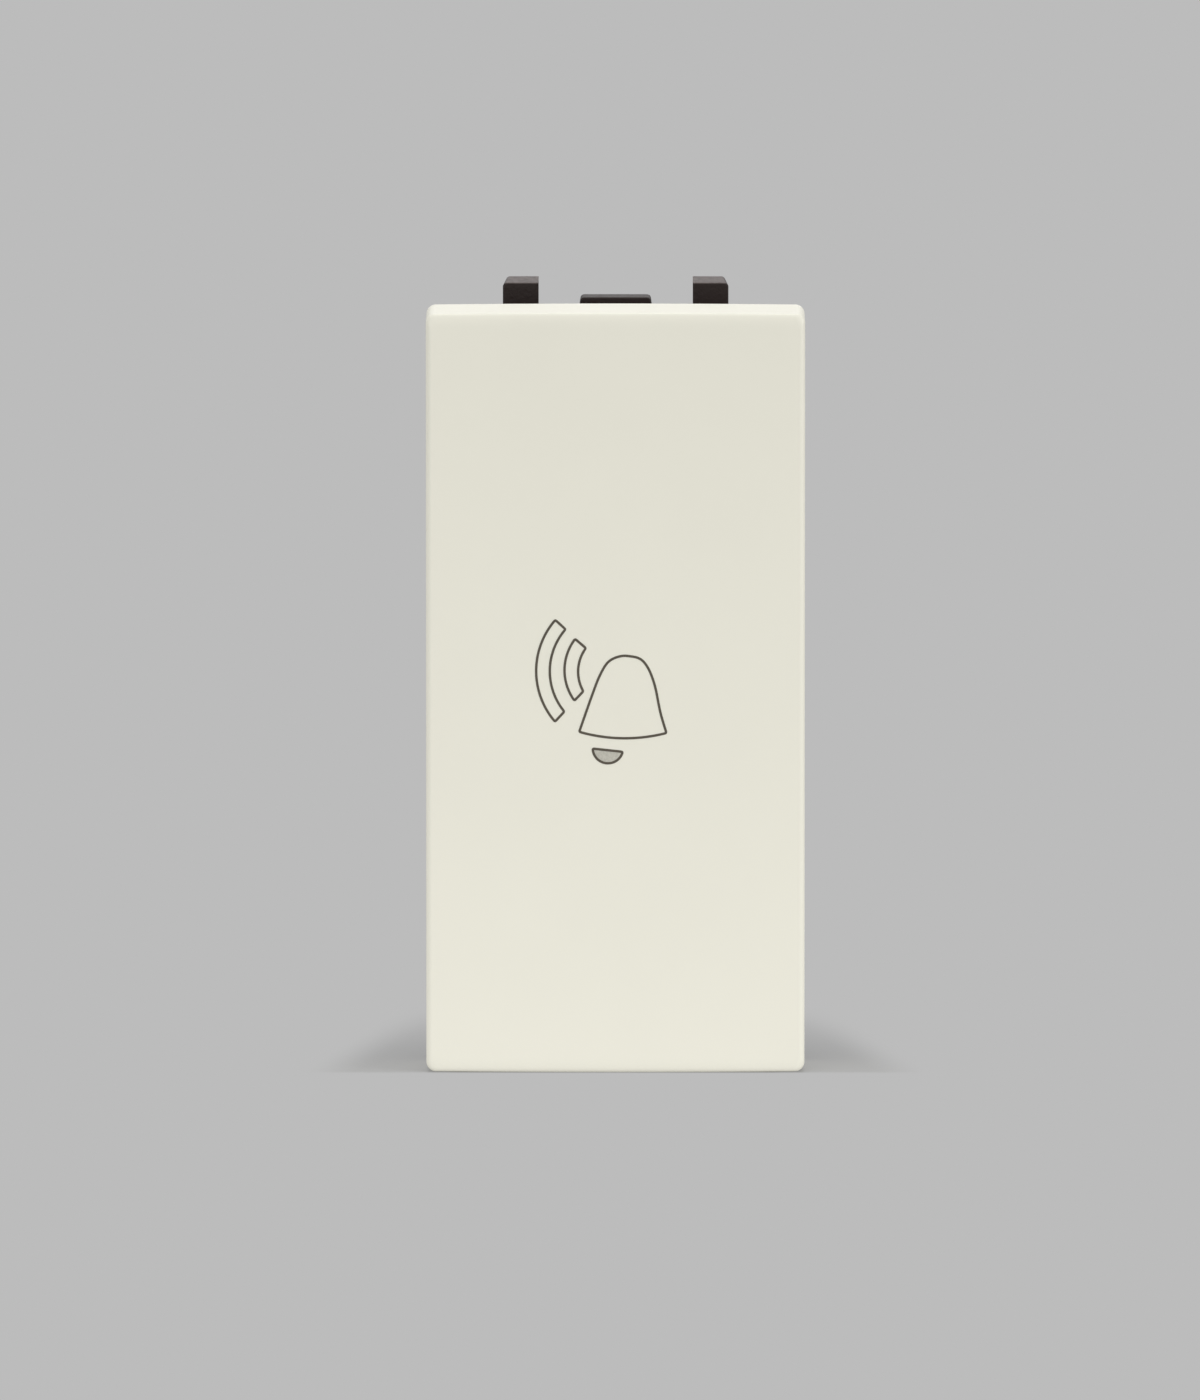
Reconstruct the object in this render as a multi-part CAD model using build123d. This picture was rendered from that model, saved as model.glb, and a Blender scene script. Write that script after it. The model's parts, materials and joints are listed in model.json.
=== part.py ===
from build123d import *
import math
import os

os.makedirs("parts", exist_ok=True)

# A one-module bell push that snaps into a mounting grid.
# Lengths are millimetres and angles are degrees. X is across the front, Y goes back into the wall
# and Z is up. The origin is the middle of the flange's rear face, which seats on the grid.

# Key cap
cap_width = 22.2
cap_height = 44.8
cap_depth = 5.6
cap_front_wall = 1.6
cap_side_wall = 1.1
cap_crown = 0.06
cap_corner_radius = 0.55
cap_end_round = 0.45
cap_side_round = 0.35

# How far each cut runs past the face that it opens
cut_past = 1.0

# Rocking motion
press_angle = 4.5
cap_to_flange = 0.25
pivot_forward = 2.0
running_gap = 0.05

# Carrier under the cap
carrier_gap = 0.1
carrier_side_gap = 0.3
carrier_end_gap = 1.5
carrier_plate = 1.6
hub_half_height = 2.4
trunnion_radius = 1.4
nib_width = 3.6
nib_radius = 1.4
nib_reach = 6.0
rib_thickness = 0.8

# Clips that hold the cap on the carrier
clip_height = 9.0
clip_width = 3.0
clip_leg = 0.9
clip_lip = 0.7

# Mounting flange and the slot that grips the grid's rail
flange_setback = 0.5
flange_side_setback = 0.2
flange_thickness = 1.3
flange_corner_radius = 0.8
flange_edge_radius = 0.25
seat_land = 2.7
rail_slot = 2.3

# Rim and pivot cheeks in front of the flange
rim_gap = 0.7
rim_wall = 1.4
rim_height = 2.4
cheek_height = 4.0
cheek_half_width = 3.2
stop_width = 3.0
stop_offset = 4.9
stop_depth = 2.8

# Collar behind the flange, with snap lugs and latches
collar_lip = 0.2
collar_wall = 1.3
collar_depth = 8.4
collar_step = 0.6
collar_edge_radius = 0.8
seam_edge_radius = 0.15
lug_offset = 5.6
lug_width = 2.1
lug_rear_width = 1.85
lug_land = 3.6
lug_ramp = 1.5
lug_rise = 0.62
lug_round = 0.25
latch_width = 4.9
latch_top_width = 4.1
latch_land = 1.7
latch_ramp = 1.9
latch_drop = 0.24
arm_start = 1.0
arm_length = 5.1
arm_slit = 0.5

# Rear base
base_gap = 0.1
spigot_depth = 2.0
spigot_wall = 1.2
base_rear_wall = 1.6
base_rear_round = 0.6
panel_margin = 2.4
panel_depth = 0.3
panel_radius = 1.0
driver_ring_width = 0.9
driver_ring_height = 0.4
driver_ring_edge = 0.15
funnel = 0.4
catch_offset = 11.0
catch_width = 3.6
catch_height = 0.7
catch_length = 1.1
catch_gap = 0.2

# Chamber cover
cover_thickness = 1.4
cover_gap = 0.05
cover_recess = 0.2

# Plunger and springs
stem_width = 4.2
stem_height = 3.6
stem_gap = 0.06
rail_wall = 0.8
plunger_web = 1.2
plunger_room = 0.5
contact_spring_length = 4.3
contact_spring_radius = 1.15
contact_spring_wire = 0.3
contact_spring_turns = 5
return_spring_length = 4.8
return_spring_radius = 1.6
return_spring_wire = 0.4
return_spring_turns = 5
spring_peg_height = 0.5
spring_end_gap = 0.03

# Contacts
strip_thickness = 0.8
bridge_length = 13.2
bridge_height = 4.4
bridge_gap = 0.1
tip_radius = 1.3
tip_height = 0.6
overtravel = 0.2
touch_gap = 0.03
arm_width = 4.0
arm_end_gap = 1.0
stake_radius = 0.8
stake_height = 1.0
stake_drop = 4.0

# Terminals
centre_rib = 3.2
cage_gap = 0.3
cage_width = 5.6
cage_height = 4.8
cage_side_wall = 0.9
cage_front_wall = 1.0
cage_thread_wall = 1.4
cage_front_gap = 0.5
cage_open_gap = 0.3
wire_space = 3.0
tongue_width = 3.4
tongue_gap = 0.2
tongue_seat = 0.8
pocket_room = 0.6
pocket_top_wall = 1.2
partition = 2.5
screw_radius = 1.45
thread_gap = 0.05
screw_tip_gap = 0.1
head_radius = 2.6
head_thickness = 1.8
head_gap = 0.2
slot_width = 0.8
slot_depth = 0.9
driver_hole_radius = 2.2

# Places along Y, from the flange to the front
press_radians = math.radians(press_angle)
flange_front = -flange_thickness
cap_back = flange_front - cap_to_flange - cap_height / 2 * math.sin(press_radians)
cap_face = cap_back - cap_depth
cap_inside = cap_face + cap_front_wall
pivot_y = flange_front - pivot_forward
carrier_front = cap_inside + carrier_gap
carrier_back = carrier_front + carrier_plate
nib_tip = carrier_back + nib_reach
rim_front = flange_front - rim_height
cheek_front = flange_front - cheek_height

# Widths and heights that follow from the cap
rim_half_width = cap_width / 2 - cap_side_wall - rim_gap
window_half_width = rim_half_width - rim_wall
flange_width = cap_width - 2 * flange_side_setback
flange_height = cap_height - 2 * flange_setback
collar_width = flange_width - 2 * collar_lip
collar_height = flange_height - 2 * seat_land
window_half_height = collar_height / 2 - collar_wall
rim_half_height = window_half_height + rim_wall
carrier_half_width = window_half_width - carrier_side_gap
carrier_half_height = window_half_height - carrier_end_gap
spigot_half_width = collar_width / 2 - collar_wall - base_gap
spigot_half_height = collar_height / 2 - collar_wall - base_gap
cavity_half_width = spigot_half_width - spigot_wall
cavity_half_height = spigot_half_height - spigot_wall

# Places along Y, from the flange to the rear
spigot_front = collar_depth - spigot_depth
cover_front = spigot_front + cover_recess
cover_back = cover_front + cover_thickness
shoulder_y = cover_back + 2 * running_gap
spring_window_front = shoulder_y + plunger_web
bridge_front = spring_window_front + contact_spring_length
bridge_back = bridge_front + strip_thickness
web_back = bridge_back + plunger_web
floor_y = web_back + return_spring_length
base_back = floor_y + base_rear_wall

# Plunger, bridge and fixed contacts
rail_half_height = bridge_height / 2 - rail_wall / 2 + bridge_gap
plunger_half_height = rail_half_height + rail_wall
plunger_arm = cavity_half_height - plunger_half_height - plunger_room
plunger_travel = plunger_arm * press_radians
bridge_travel = plunger_travel - overtravel
fixed_tip_front = bridge_back + tip_height + bridge_travel + touch_gap
arm_front = fixed_tip_front + tip_height
arm_back = arm_front + strip_thickness

# Terminals
terminal_offset = centre_rib / 2 + cage_gap + cage_width / 2
cage_front = cover_back + cage_front_gap
wire_front = cage_front + cage_front_wall
tongue_front = wire_front + wire_space
tongue_back = tongue_front + strip_thickness
cage_inside_back = tongue_back + cage_open_gap
cage_back = cage_inside_back + cage_thread_wall
wire_y = (wire_front + tongue_front) / 2
screw_tip = tongue_back + screw_tip_gap
head_back = floor_y - head_gap
head_front = head_back - head_thickness
pocket_top = cavity_half_height - pocket_top_wall
cage_z = pocket_top - pocket_room - cage_height / 2
pocket_bottom = cage_z - cage_height / 2 - 2 * pocket_room
partition_bottom = pocket_bottom - partition
tongue_end = pocket_top + tongue_seat
sides = (-1, 1)


def block(x, y, z):
    """A box from the low to the high end that is given along each axis."""
    spans = (x, y, z)
    size = [high - low for low, high in spans]
    centre = [(high + low) / 2 for low, high in spans]
    return Pos(*centre) * Box(*size)


def centred(half_width, y, half_height):
    """A box about the middle of the front view, from the low to the high end along Y."""
    return block((-half_width, half_width), y, (-half_height, half_height))


def around(middle, half):
    """The two ends of a stretch that reaches half each side of its middle."""
    return (middle - half, middle + half)


def rounded(body, corner_radius, front_radius, rear_radius):
    """The box with its corners in front view rounded, and then its front and its rear edges."""
    body = fillet(body.edges().filter_by(Axis.Y), corner_radius)
    body = fillet(body.faces().sort_by(Axis.Y)[0].edges(), front_radius)
    return fillet(body.faces().sort_by(Axis.Y)[-1].edges(), rear_radius)


def rod_x(radius, x, y, z):
    """A round bar along X."""
    return Pos(sum(x) / 2, y, z) * Rot(0, 90, 0) * Cylinder(radius, x[1] - x[0])


def rod_y(radius, x, y, z):
    """A round bar along Y."""
    return Pos(x, sum(y) / 2, z) * Rot(90, 0, 0) * Cylinder(radius, y[1] - y[0])


def rod_z(radius, x, y, z):
    """A round bar along Z."""
    return Pos(x, y, sum(z) / 2) * Cylinder(radius, z[1] - z[0])


def slab_x(points, x):
    """A flat shape given by its Y and Z corners, as thick as the two ends along X."""
    outline = Polyline(*[(x[0], y, z) for y, z in points], close=True)
    return extrude(make_face(outline), x[1] - x[0], dir=(1, 0, 0))


def slab_y(points, y):
    """A flat shape given by its X and Z corners, as thick as the two ends along Y."""
    outline = Polyline(*[(x, y[0], z) for x, z in points], close=True)
    return extrude(make_face(outline), y[1] - y[0], dir=(0, 1, 0))


def slab_z(points, z):
    """A flat shape given by its X and Y corners, as thick as the two ends along Z."""
    outline = Polyline(*[(x, y, z[0]) for x, y in points], close=True)
    return extrude(make_face(outline), z[1] - z[0], dir=(0, 0, 1))


def rocker_cap():
    """The key that the finger presses: a hollow shell with four clips behind its front."""
    half_width = cap_width / 2
    half_height = cap_height / 2
    shoulder = half_height - cap_crown
    corners = {(i, j): (i * half_width, cap_face, j * shoulder) for i in sides for j in sides}
    outline = [
        ThreePointArc(corners[-1, 1], (0, cap_face, half_height), corners[1, 1]),
        Line(corners[1, 1], corners[1, -1]),
        ThreePointArc(corners[1, -1], (0, cap_face, -half_height), corners[-1, -1]),
        Line(corners[-1, -1], corners[-1, 1]),
    ]
    shell = extrude(make_face(outline), cap_depth, dir=(0, 1, 0))
    shell = fillet(shell.edges().filter_by(Axis.Y), cap_corner_radius)
    for axis, radius in ((Axis.X, cap_end_round), (Axis.Z, cap_side_round)):
        rounded = centred(half_width, (cap_face, cap_back), half_height)
        front_edges = rounded.faces().sort_by(Axis.Y)[0].edges().filter_by(axis)
        shell &= fillet(front_edges, radius)
    inside_width = half_width - cap_side_wall
    inside_height = half_height - cap_side_wall
    shell -= centred(inside_width, (cap_inside, cap_back + cut_past), inside_height)
    for side in sides:
        for end in sides:
            shell += cap_clip(side, end)
    return shell


def cap_clip(side, end):
    """One clip: a leg beside the carrier's plate and a lip behind it."""
    leg_inside = carrier_half_width + carrier_gap
    lip_front = carrier_back + running_gap
    lip_back = lip_front + clip_lip
    tip = carrier_half_width - clip_lip
    points = [
        (side * leg_inside, cap_inside - carrier_gap),
        (side * (leg_inside + clip_leg), cap_inside - carrier_gap),
        (side * (leg_inside + clip_leg), lip_back),
        (side * leg_inside, lip_back),
        (side * tip, lip_front + clip_lip / 3),
        (side * tip, lip_front),
        (side * leg_inside, lip_front),
    ]
    return slab_z(points, around(end * clip_height, clip_width / 2))


def rocker_carrier():
    """The rocker under the cap, with two trunnions and the nib that presses the plunger."""
    plate = centred(carrier_half_width, (carrier_front, carrier_back), carrier_half_height)
    plate = fillet(plate.edges().filter_by(Axis.Y), cap_corner_radius)
    hub_y = (carrier_front, pivot_y + trunnion_radius)
    body = plate + centred(carrier_half_width, hub_y, hub_half_height)
    pin_end = rim_half_width - carrier_gap
    body += rod_x(trunnion_radius, (-pin_end, pin_end), pivot_y, 0)
    nib_x = (-nib_width / 2, nib_width / 2)
    nib_centre = nib_tip - nib_radius
    body += block(nib_x, (carrier_front, nib_centre), around(-plunger_arm, nib_radius))
    body += rod_x(nib_radius, nib_x, nib_centre, -plunger_arm)
    rib_z = (-plunger_arm, 0)
    rib_y = (carrier_front, carrier_back + rib_thickness)
    body += block(around(0, rib_thickness / 2), rib_y, rib_z)
    return body


def stop_pad(side, end, front):
    """One stop that the carrier's end rests on, standing on the flange's window edge."""
    high = window_half_height - stop_depth
    low = rim_half_height - rim_wall / 2
    z = sorted((end * high, end * low))
    return block(around(side * stop_offset, stop_width / 2), (front, 0), z)


def snap_lug(side, end):
    """One fixed lug that hooks behind the rail, narrower towards the rear."""
    root = collar_height / 2 - collar_wall / 2
    shelf = collar_height / 2
    top = cap_height / 2 + (lug_rise if end > 0 else 0)
    lug_back = rail_slot + lug_land
    ramp_back = lug_back + lug_ramp
    side_view = [
        (rail_slot, end * root),
        (rail_slot, end * top),
        (lug_back, end * top),
        (ramp_back, end * shelf),
        (ramp_back, end * root),
    ]
    inner = lug_offset - lug_width / 2
    outer = lug_offset + lug_width / 2
    top_view = [
        (side * inner, rail_slot),
        (side * outer, rail_slot),
        (side * (inner + lug_rear_width), ramp_back),
        (side * inner, ramp_back),
    ]
    x = sorted((side * inner, side * outer))
    z = sorted((end * root, end * top))
    lug = slab_x(side_view, x) & slab_z(top_view, z)
    crest = lug.faces().sort_by(Axis.Z)[-1 if end > 0 else 0]
    outer_edge = crest.edges().sort_by(Axis.X)[-1 if side > 0 else 0]
    lug = fillet(outer_edge, lug_round)
    crest = lug.faces().sort_by(Axis.Z)[-1 if end > 0 else 0]
    front_edge = crest.edges().sort_by(Axis.Y)[0]
    return fillet(front_edge, lug_round / 3)


def snap_latch(end):
    """The springy latch between two lugs, narrower at its top."""
    root = collar_height / 2 - collar_wall / 2
    shelf = collar_height / 2
    top = cap_height / 2 - latch_drop
    latch_back = rail_slot + latch_land
    ramp_back = latch_back + latch_ramp
    side_view = [
        (rail_slot, end * root),
        (rail_slot, end * top),
        (latch_back, end * top),
        (ramp_back, end * shelf),
        (ramp_back, end * root),
    ]
    half = latch_width / 2
    half_top = latch_top_width / 2
    front_view = [
        (-half, end * root),
        (-half, end * shelf),
        (-half_top, end * top),
        (half_top, end * top),
        (half, end * shelf),
        (half, end * root),
    ]
    latch = slab_x(side_view, (-half, half)) & slab_y(front_view, (rail_slot, ramp_back))
    crest = latch.faces().sort_by(Axis.Z)[-1 if end > 0 else 0]
    latch = fillet(crest.edges().filter_by(Axis.Y), lug_round)
    crest = latch.faces().sort_by(Axis.Z)[-1 if end > 0 else 0]
    return fillet(crest.edges().sort_by(Axis.Y)[0], lug_round / 3)


def latch_slit(end):
    """The U-shaped slit that frees the latch's arm in the collar's wall."""
    inside = window_half_height - cut_past
    outside = collar_height / 2 + cut_past
    wall_z = sorted((end * inside, end * outside))
    half = latch_width / 2 + arm_slit
    arm_end = arm_start + arm_length
    cut = block((-half, half), (arm_start, arm_end + arm_slit), wall_z)
    arm_x = (-latch_width / 2, latch_width / 2)
    arm = block(arm_x, (arm_start - cut_past, arm_end), wall_z)
    return cut - arm


def front_frame():
    """The front moulding: flange, rim, cheeks and stops in front, collar and snaps behind."""
    flange = centred(flange_width / 2, (flange_front, 0), flange_height / 2)
    flange = rounded(flange, flange_corner_radius, flange_edge_radius, seam_edge_radius)
    collar = centred(collar_width / 2, (flange_front / 2, collar_depth), collar_height / 2)
    collar = rounded(collar, collar_edge_radius, seam_edge_radius, seam_edge_radius)
    body = flange + collar + centred(rim_half_width, (rim_front, 0), rim_half_height)
    body += centred(rim_half_width, (pivot_y, 0), cheek_half_width)
    nose = cheek_half_width - (pivot_y - cheek_front)
    body += centred(rim_half_width, (cheek_front, pivot_y), nose)
    for end in sides:
        corner = cheek_half_width - nose
        body += rod_x(corner, (-rim_half_width, rim_half_width), pivot_y, end * nose)
    window_y = (cheek_front - cut_past, collar_step + cut_past)
    body -= centred(window_half_width, window_y, window_half_height)
    inner_half_width = collar_width / 2 - collar_wall
    inner_y = (collar_step, collar_depth + cut_past)
    body -= centred(inner_half_width, inner_y, window_half_height)
    hole_end = rim_half_width + cut_past
    body -= rod_x(trunnion_radius + running_gap, (-hole_end, hole_end), pivot_y, 0)
    rest_stop = carrier_back + running_gap
    swing = carrier_half_height * math.sin(press_radians)
    for side in sides:
        body += stop_pad(side, 1, rest_stop)
        body += stop_pad(side, -1, rest_stop + swing)
        for end in sides:
            body += snap_lug(side, end)
            body -= catch_window(side, end)
    for end in sides:
        body += snap_latch(end)
        body -= latch_slit(end)
    return body


def catch_window(side, end):
    """The window in the collar's wall that one catch of the base snaps into."""
    inside = collar_width / 2 - collar_wall - cut_past
    outside = collar_width / 2 + cut_past
    wall_x = sorted((side * inside, side * outside))
    y = (spigot_front, spigot_front + catch_length + 2 * catch_gap)
    return block(wall_x, y, around(end * catch_offset, catch_width / 2 + catch_gap))


def base_catch(side, end):
    """One catch of the base: a wedge on the spigot."""
    start = side * (spigot_half_width - spigot_wall / 2)
    root = side * spigot_half_width
    crest = side * (spigot_half_width + catch_height)
    front = spigot_front + catch_gap
    back = front + catch_length
    points = [(start, front), (root, front), (crest, back), (start, back)]
    return slab_z(points, around(end * catch_offset, catch_width / 2))


def side_panel(side):
    """The shallow panel sunk into one side wall of the base."""
    floor_x = collar_width / 2 - panel_depth
    x = sorted((side * floor_x, side * (floor_x + cut_past)))
    y = (collar_depth + panel_margin, base_back - panel_margin)
    z_end = collar_height / 2 - panel_margin
    panel = block(x, y, (-z_end, z_end))
    return fillet(panel.edges().filter_by(Axis.X), panel_radius)


def driver_ring(middle):
    """The raised ring round one screwdriver hole, with its two rear edges rounded."""
    y = (floor_y, base_back + driver_ring_height)
    ring = rod_y(driver_hole_radius + driver_ring_width, middle, y, cage_z)
    ring -= rod_y(driver_hole_radius, middle, y, cage_z)
    return fillet(ring.faces().sort_by(Axis.Y)[-1].edges(), driver_ring_edge)


def wire_funnel(middle):
    """The flared mouth of one wire entry."""
    mouth = wire_space / 2 + funnel
    top = collar_height / 2
    cone = Cone(wire_space / 2, mouth, funnel)
    return Pos(middle, wire_y, top - funnel / 2) * cone


def rear_base():
    """The rear housing: contact chamber below, two terminal pockets above."""
    body = centred(collar_width / 2, (collar_depth, base_back), collar_height / 2)
    body = rounded(body, collar_edge_radius, seam_edge_radius, base_rear_round)
    for side in sides:
        body -= side_panel(side)
    spigot_y = (spigot_front, collar_depth + cut_past)
    body += centred(spigot_half_width, spigot_y, spigot_half_height)
    recess_y = (spigot_front - cut_past, cover_back)
    body -= centred(cavity_half_width, recess_y, cavity_half_height)
    chamber_x = (-cavity_half_width, cavity_half_width)
    deep = (cover_back - cut_past, floor_y)
    wire_z = (pocket_top, collar_height / 2 + cut_past)
    driver_y = (floor_y - cut_past, base_back + cut_past)
    stake_y = (arm_front - stake_height, arm_back + cut_past)
    body -= block(chamber_x, deep, (-cavity_half_height, partition_bottom))
    for side in sides:
        middle = side * terminal_offset
        pocket_x = around(middle, cage_width / 2 + cage_gap)
        body -= block(pocket_x, deep, (pocket_bottom, pocket_top))
        slot_x = around(middle, tongue_width / 2 + tongue_gap)
        slot_y = (cover_back - cut_past, tongue_back + running_gap)
        slot_z = (partition_bottom - cut_past, tongue_end + tongue_gap)
        body -= block(slot_x, slot_y, slot_z)
        body -= rod_z(wire_space / 2, middle, wire_y, wire_z)
        body -= wire_funnel(middle)
        body -= rod_y(driver_hole_radius, middle, driver_y, cage_z)
        body += driver_ring(middle)
        rest_x = around(middle, arm_width / 2)
        rest_z = (-cavity_half_height - cut_past, partition_bottom + cut_past)
        body += block(rest_x, (arm_back, floor_y + cut_past), rest_z)
        body += rod_y(stake_radius, middle, stake_y, -stake_drop)
        for end in sides:
            body += base_catch(side, end)
    peg_radius = return_spring_radius - return_spring_wire
    peg_y = (floor_y - spring_peg_height, floor_y + cut_past)
    body += rod_y(peg_radius, 0, peg_y, -plunger_arm)
    return body


def chamber_cover():
    """The plate that closes the base, guides the plunger and holds the strips down."""
    half_width = cavity_half_width - cover_gap
    half_height = cavity_half_height - cover_gap
    plate = centred(half_width, (cover_front, cover_back), half_height)
    guide = stem_gap + stem_width / 2
    plate -= block(
        (-guide, guide),
        (cover_front - cut_past, cover_back + cut_past),
        around(-plunger_arm, stem_height / 2 + stem_gap),
    )
    foot_z = (partition_bottom + tongue_gap, pocket_bottom - tongue_gap)
    for side in sides:
        foot_x = around(side * terminal_offset, tongue_width / 2 - tongue_gap)
        plate += block(foot_x, (cover_front, tongue_front - running_gap), foot_z)
    return plate


def plunger():
    """The sliding pusher: stem through the cover, then the window that holds the bridge."""
    stem_front = nib_tip + running_gap
    stem_x = (-stem_width / 2, stem_width / 2)
    stem_z = around(-plunger_arm, stem_height / 2)
    stem = block(stem_x, (stem_front, shoulder_y + plunger_web / 2), stem_z)
    stem = chamfer(stem.faces().sort_by(Axis.Y)[0].edges(), running_gap * 4)
    frame_z = around(-plunger_arm, plunger_half_height)
    body = stem + block(stem_x, (shoulder_y, web_back), frame_z)
    window_x = (-stem_width, stem_width)
    window_z = around(-plunger_arm, rail_half_height)
    body -= block(window_x, (spring_window_front, bridge_back), window_z)
    front_peg = contact_spring_radius - contact_spring_wire
    peg_end = spring_window_front + spring_peg_height
    body += rod_y(front_peg, 0, (shoulder_y, peg_end), -plunger_arm)
    tail_peg = return_spring_radius - return_spring_wire
    body += rod_y(tail_peg, 0, (bridge_back, web_back + spring_peg_height), -plunger_arm)
    return body


def contact_bridge():
    """The moving bar: narrow in the plunger's window, wider at its two ends."""
    neck = bridge_height / 2 - rail_wall / 2
    wide = bridge_height / 2
    neck_end = stem_width / 2 + bridge_gap
    end = bridge_length / 2
    corners = [(end, wide), (neck_end, wide), (neck_end, neck)]
    upper = corners + [(-x, z) for x, z in reversed(corners)]
    outline = upper + [(x, -z) for x, z in reversed(upper)]
    points = [(x, z - plunger_arm) for x, z in outline]
    bar = slab_y(points, (bridge_front, bridge_back))
    peg_radius = contact_spring_radius - contact_spring_wire
    bar += rod_y(peg_radius, 0, (bridge_front - spring_peg_height, bridge_back), -plunger_arm)
    return bar


def contact_tip(side, seat, direction):
    """One round silver tip that stands on its carrier and points along Y."""
    y = sorted((seat, seat + direction * tip_height))
    tip = rod_y(tip_radius, side * terminal_offset, y, -plunger_arm)
    rim = tip.faces().sort_by(Axis.Y)[-1 if direction > 0 else 0].edges()
    return fillet(rim, tip_height / 3)


def fixed_strip(side):
    """One fixed strip: contact arm, a step forward, and the tongue that the wire is clamped on."""
    middle = side * terminal_offset
    arm_x = around(middle, arm_width / 2)
    tongue_x = around(middle, tongue_width / 2)
    step_top = partition_bottom - running_gap
    step_bottom = step_top - strip_thickness
    arm_bottom = -cavity_half_height + arm_end_gap
    strip = block(arm_x, (arm_front, arm_back), (arm_bottom, step_top))
    strip += block(tongue_x, (tongue_front, arm_back), (step_bottom, step_top))
    strip += block(tongue_x, (tongue_front, tongue_back), (step_bottom, tongue_end))
    hole = stake_radius + running_gap
    hole_y = (arm_front - cut_past, arm_back + cut_past)
    return strip - rod_y(hole, middle, hole_y, -stake_drop)


def terminal_cage(side):
    """One rising cage: a square ring with the thread in its rear wall."""
    middle = side * terminal_offset
    outer_x = around(middle, cage_width / 2)
    inner_x = around(middle, cage_width / 2 - cage_side_wall)
    z = around(cage_z, cage_height / 2)
    cage = block(outer_x, (cage_front, cage_back), z)
    cage = fillet(cage.edges().filter_by(Axis.Z), cage_side_wall / 2)
    cage -= block(inner_x, (wire_front, cage_inside_back), (z[0] - cut_past, z[1] + cut_past))
    hole = screw_radius + thread_gap
    return cage - rod_y(hole, middle, (wire_front, cage_back + cut_past), cage_z)


def terminal_screw(side):
    """One terminal screw, its slotted head towards the rear."""
    middle = side * terminal_offset
    head = rod_y(head_radius, middle, (head_front, head_back), cage_z)
    screw = head + rod_y(screw_radius, middle, (screw_tip, head_back - slot_depth), cage_z)
    slot_x = around(middle, head_radius + cut_past)
    slot_z = around(cage_z, slot_width / 2)
    return screw - block(slot_x, (head_back - slot_depth, head_back + cut_past), slot_z)


def coil(radius, wire, turns, y, z):
    """A compression spring along Y: one tube swept on a helix of tangent arcs, two a quarter turn."""
    low = y[0] + spring_end_gap + wire / 2
    high = y[1] - spring_end_gap - wire / 2
    rise = (high - low) / (2 * math.pi * turns)

    def place(angle):
        return Vector(radius * math.cos(angle), low + rise * angle, z + radius * math.sin(angle))

    def heading(angle):
        return Vector(-radius * math.sin(angle), rise, radius * math.cos(angle)).normalized()

    path = []
    for quarter in range(4 * turns):
        start_angle = quarter * math.pi / 2
        end_angle = start_angle + math.pi / 2
        start, end = place(start_angle), place(end_angle)
        leaving, arriving = heading(start_angle), heading(end_angle)
        chord = end - start
        along = chord.dot(leaving + arriving)
        spread = 2 * (1 - leaving.dot(arriving))
        reach = (math.sqrt(along**2 + spread * chord.dot(chord)) - along) / spread
        first_corner = start + leaving * reach
        second_corner = end - arriving * reach
        middle = (first_corner + second_corner) * 0.5
        path.append(Edge.make_tangent_arc(start, leaving, middle))
        path.append(Edge.make_tangent_arc(middle, second_corner - first_corner, end))
    least_gap = least_gap_between_turns(place, turns) - wire
    print(f"coil of wire {wire}: least gap to itself {least_gap:.3f} mm")
    section = Plane(origin=place(0), z_dir=heading(0)) * Circle(wire / 2)
    return sweep(section, path=Wire(path))


def least_gap_between_turns(place, turns):
    """The least distance between points on the coil's line that are over half a turn apart."""
    steps = 48
    points = [place(2 * math.pi * i / steps) for i in range(turns * steps + 1)]
    apart = steps * 3 // 4
    return min((b - a).length for i, a in enumerate(points) for b in points[i + apart :])


parts = {
    "rocker_cap": rocker_cap(),
    "rocker_carrier": rocker_carrier(),
    "front_frame": front_frame(),
    "rear_base": rear_base(),
    "chamber_cover": chamber_cover(),
    "plunger": plunger(),
    "contact_bridge": contact_bridge(),
    "contact_spring": coil(
        contact_spring_radius,
        contact_spring_wire,
        contact_spring_turns,
        (spring_window_front, bridge_front),
        -plunger_arm,
    ),
    "return_spring": coil(
        return_spring_radius,
        return_spring_wire,
        return_spring_turns,
        (web_back, floor_y),
        -plunger_arm,
    ),
}
for side, name in ((-1, "left"), (1, "right")):
    parts[f"bridge_tip_{name}"] = contact_tip(side, bridge_back, 1)
    parts[f"fixed_tip_{name}"] = contact_tip(side, arm_front, -1)
    parts[f"strip_{name}"] = fixed_strip(side)
    parts[f"cage_{name}"] = terminal_cage(side)
    parts[f"screw_{name}"] = terminal_screw(side)

for node, solid in parts.items():
    export_step(solid, f"parts/{node}.step")

print(f"cap face y {cap_face:.3f}, base back y {base_back:.3f}, pivot y {pivot_y:.3f}")
print(f"plunger arm {plunger_arm:.3f}, travel {plunger_travel:.4f}, bridge travel {bridge_travel:.4f}")
print(f"terminals x {terminal_offset:.3f}, wire y {wire_y:.3f}, cage z {cage_z:.3f}")
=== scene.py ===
"""Looks of a one-module bell push: the key and its print, the metal parts, every finish and the stage."""

import json
import math
from collections import namedtuple

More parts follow.
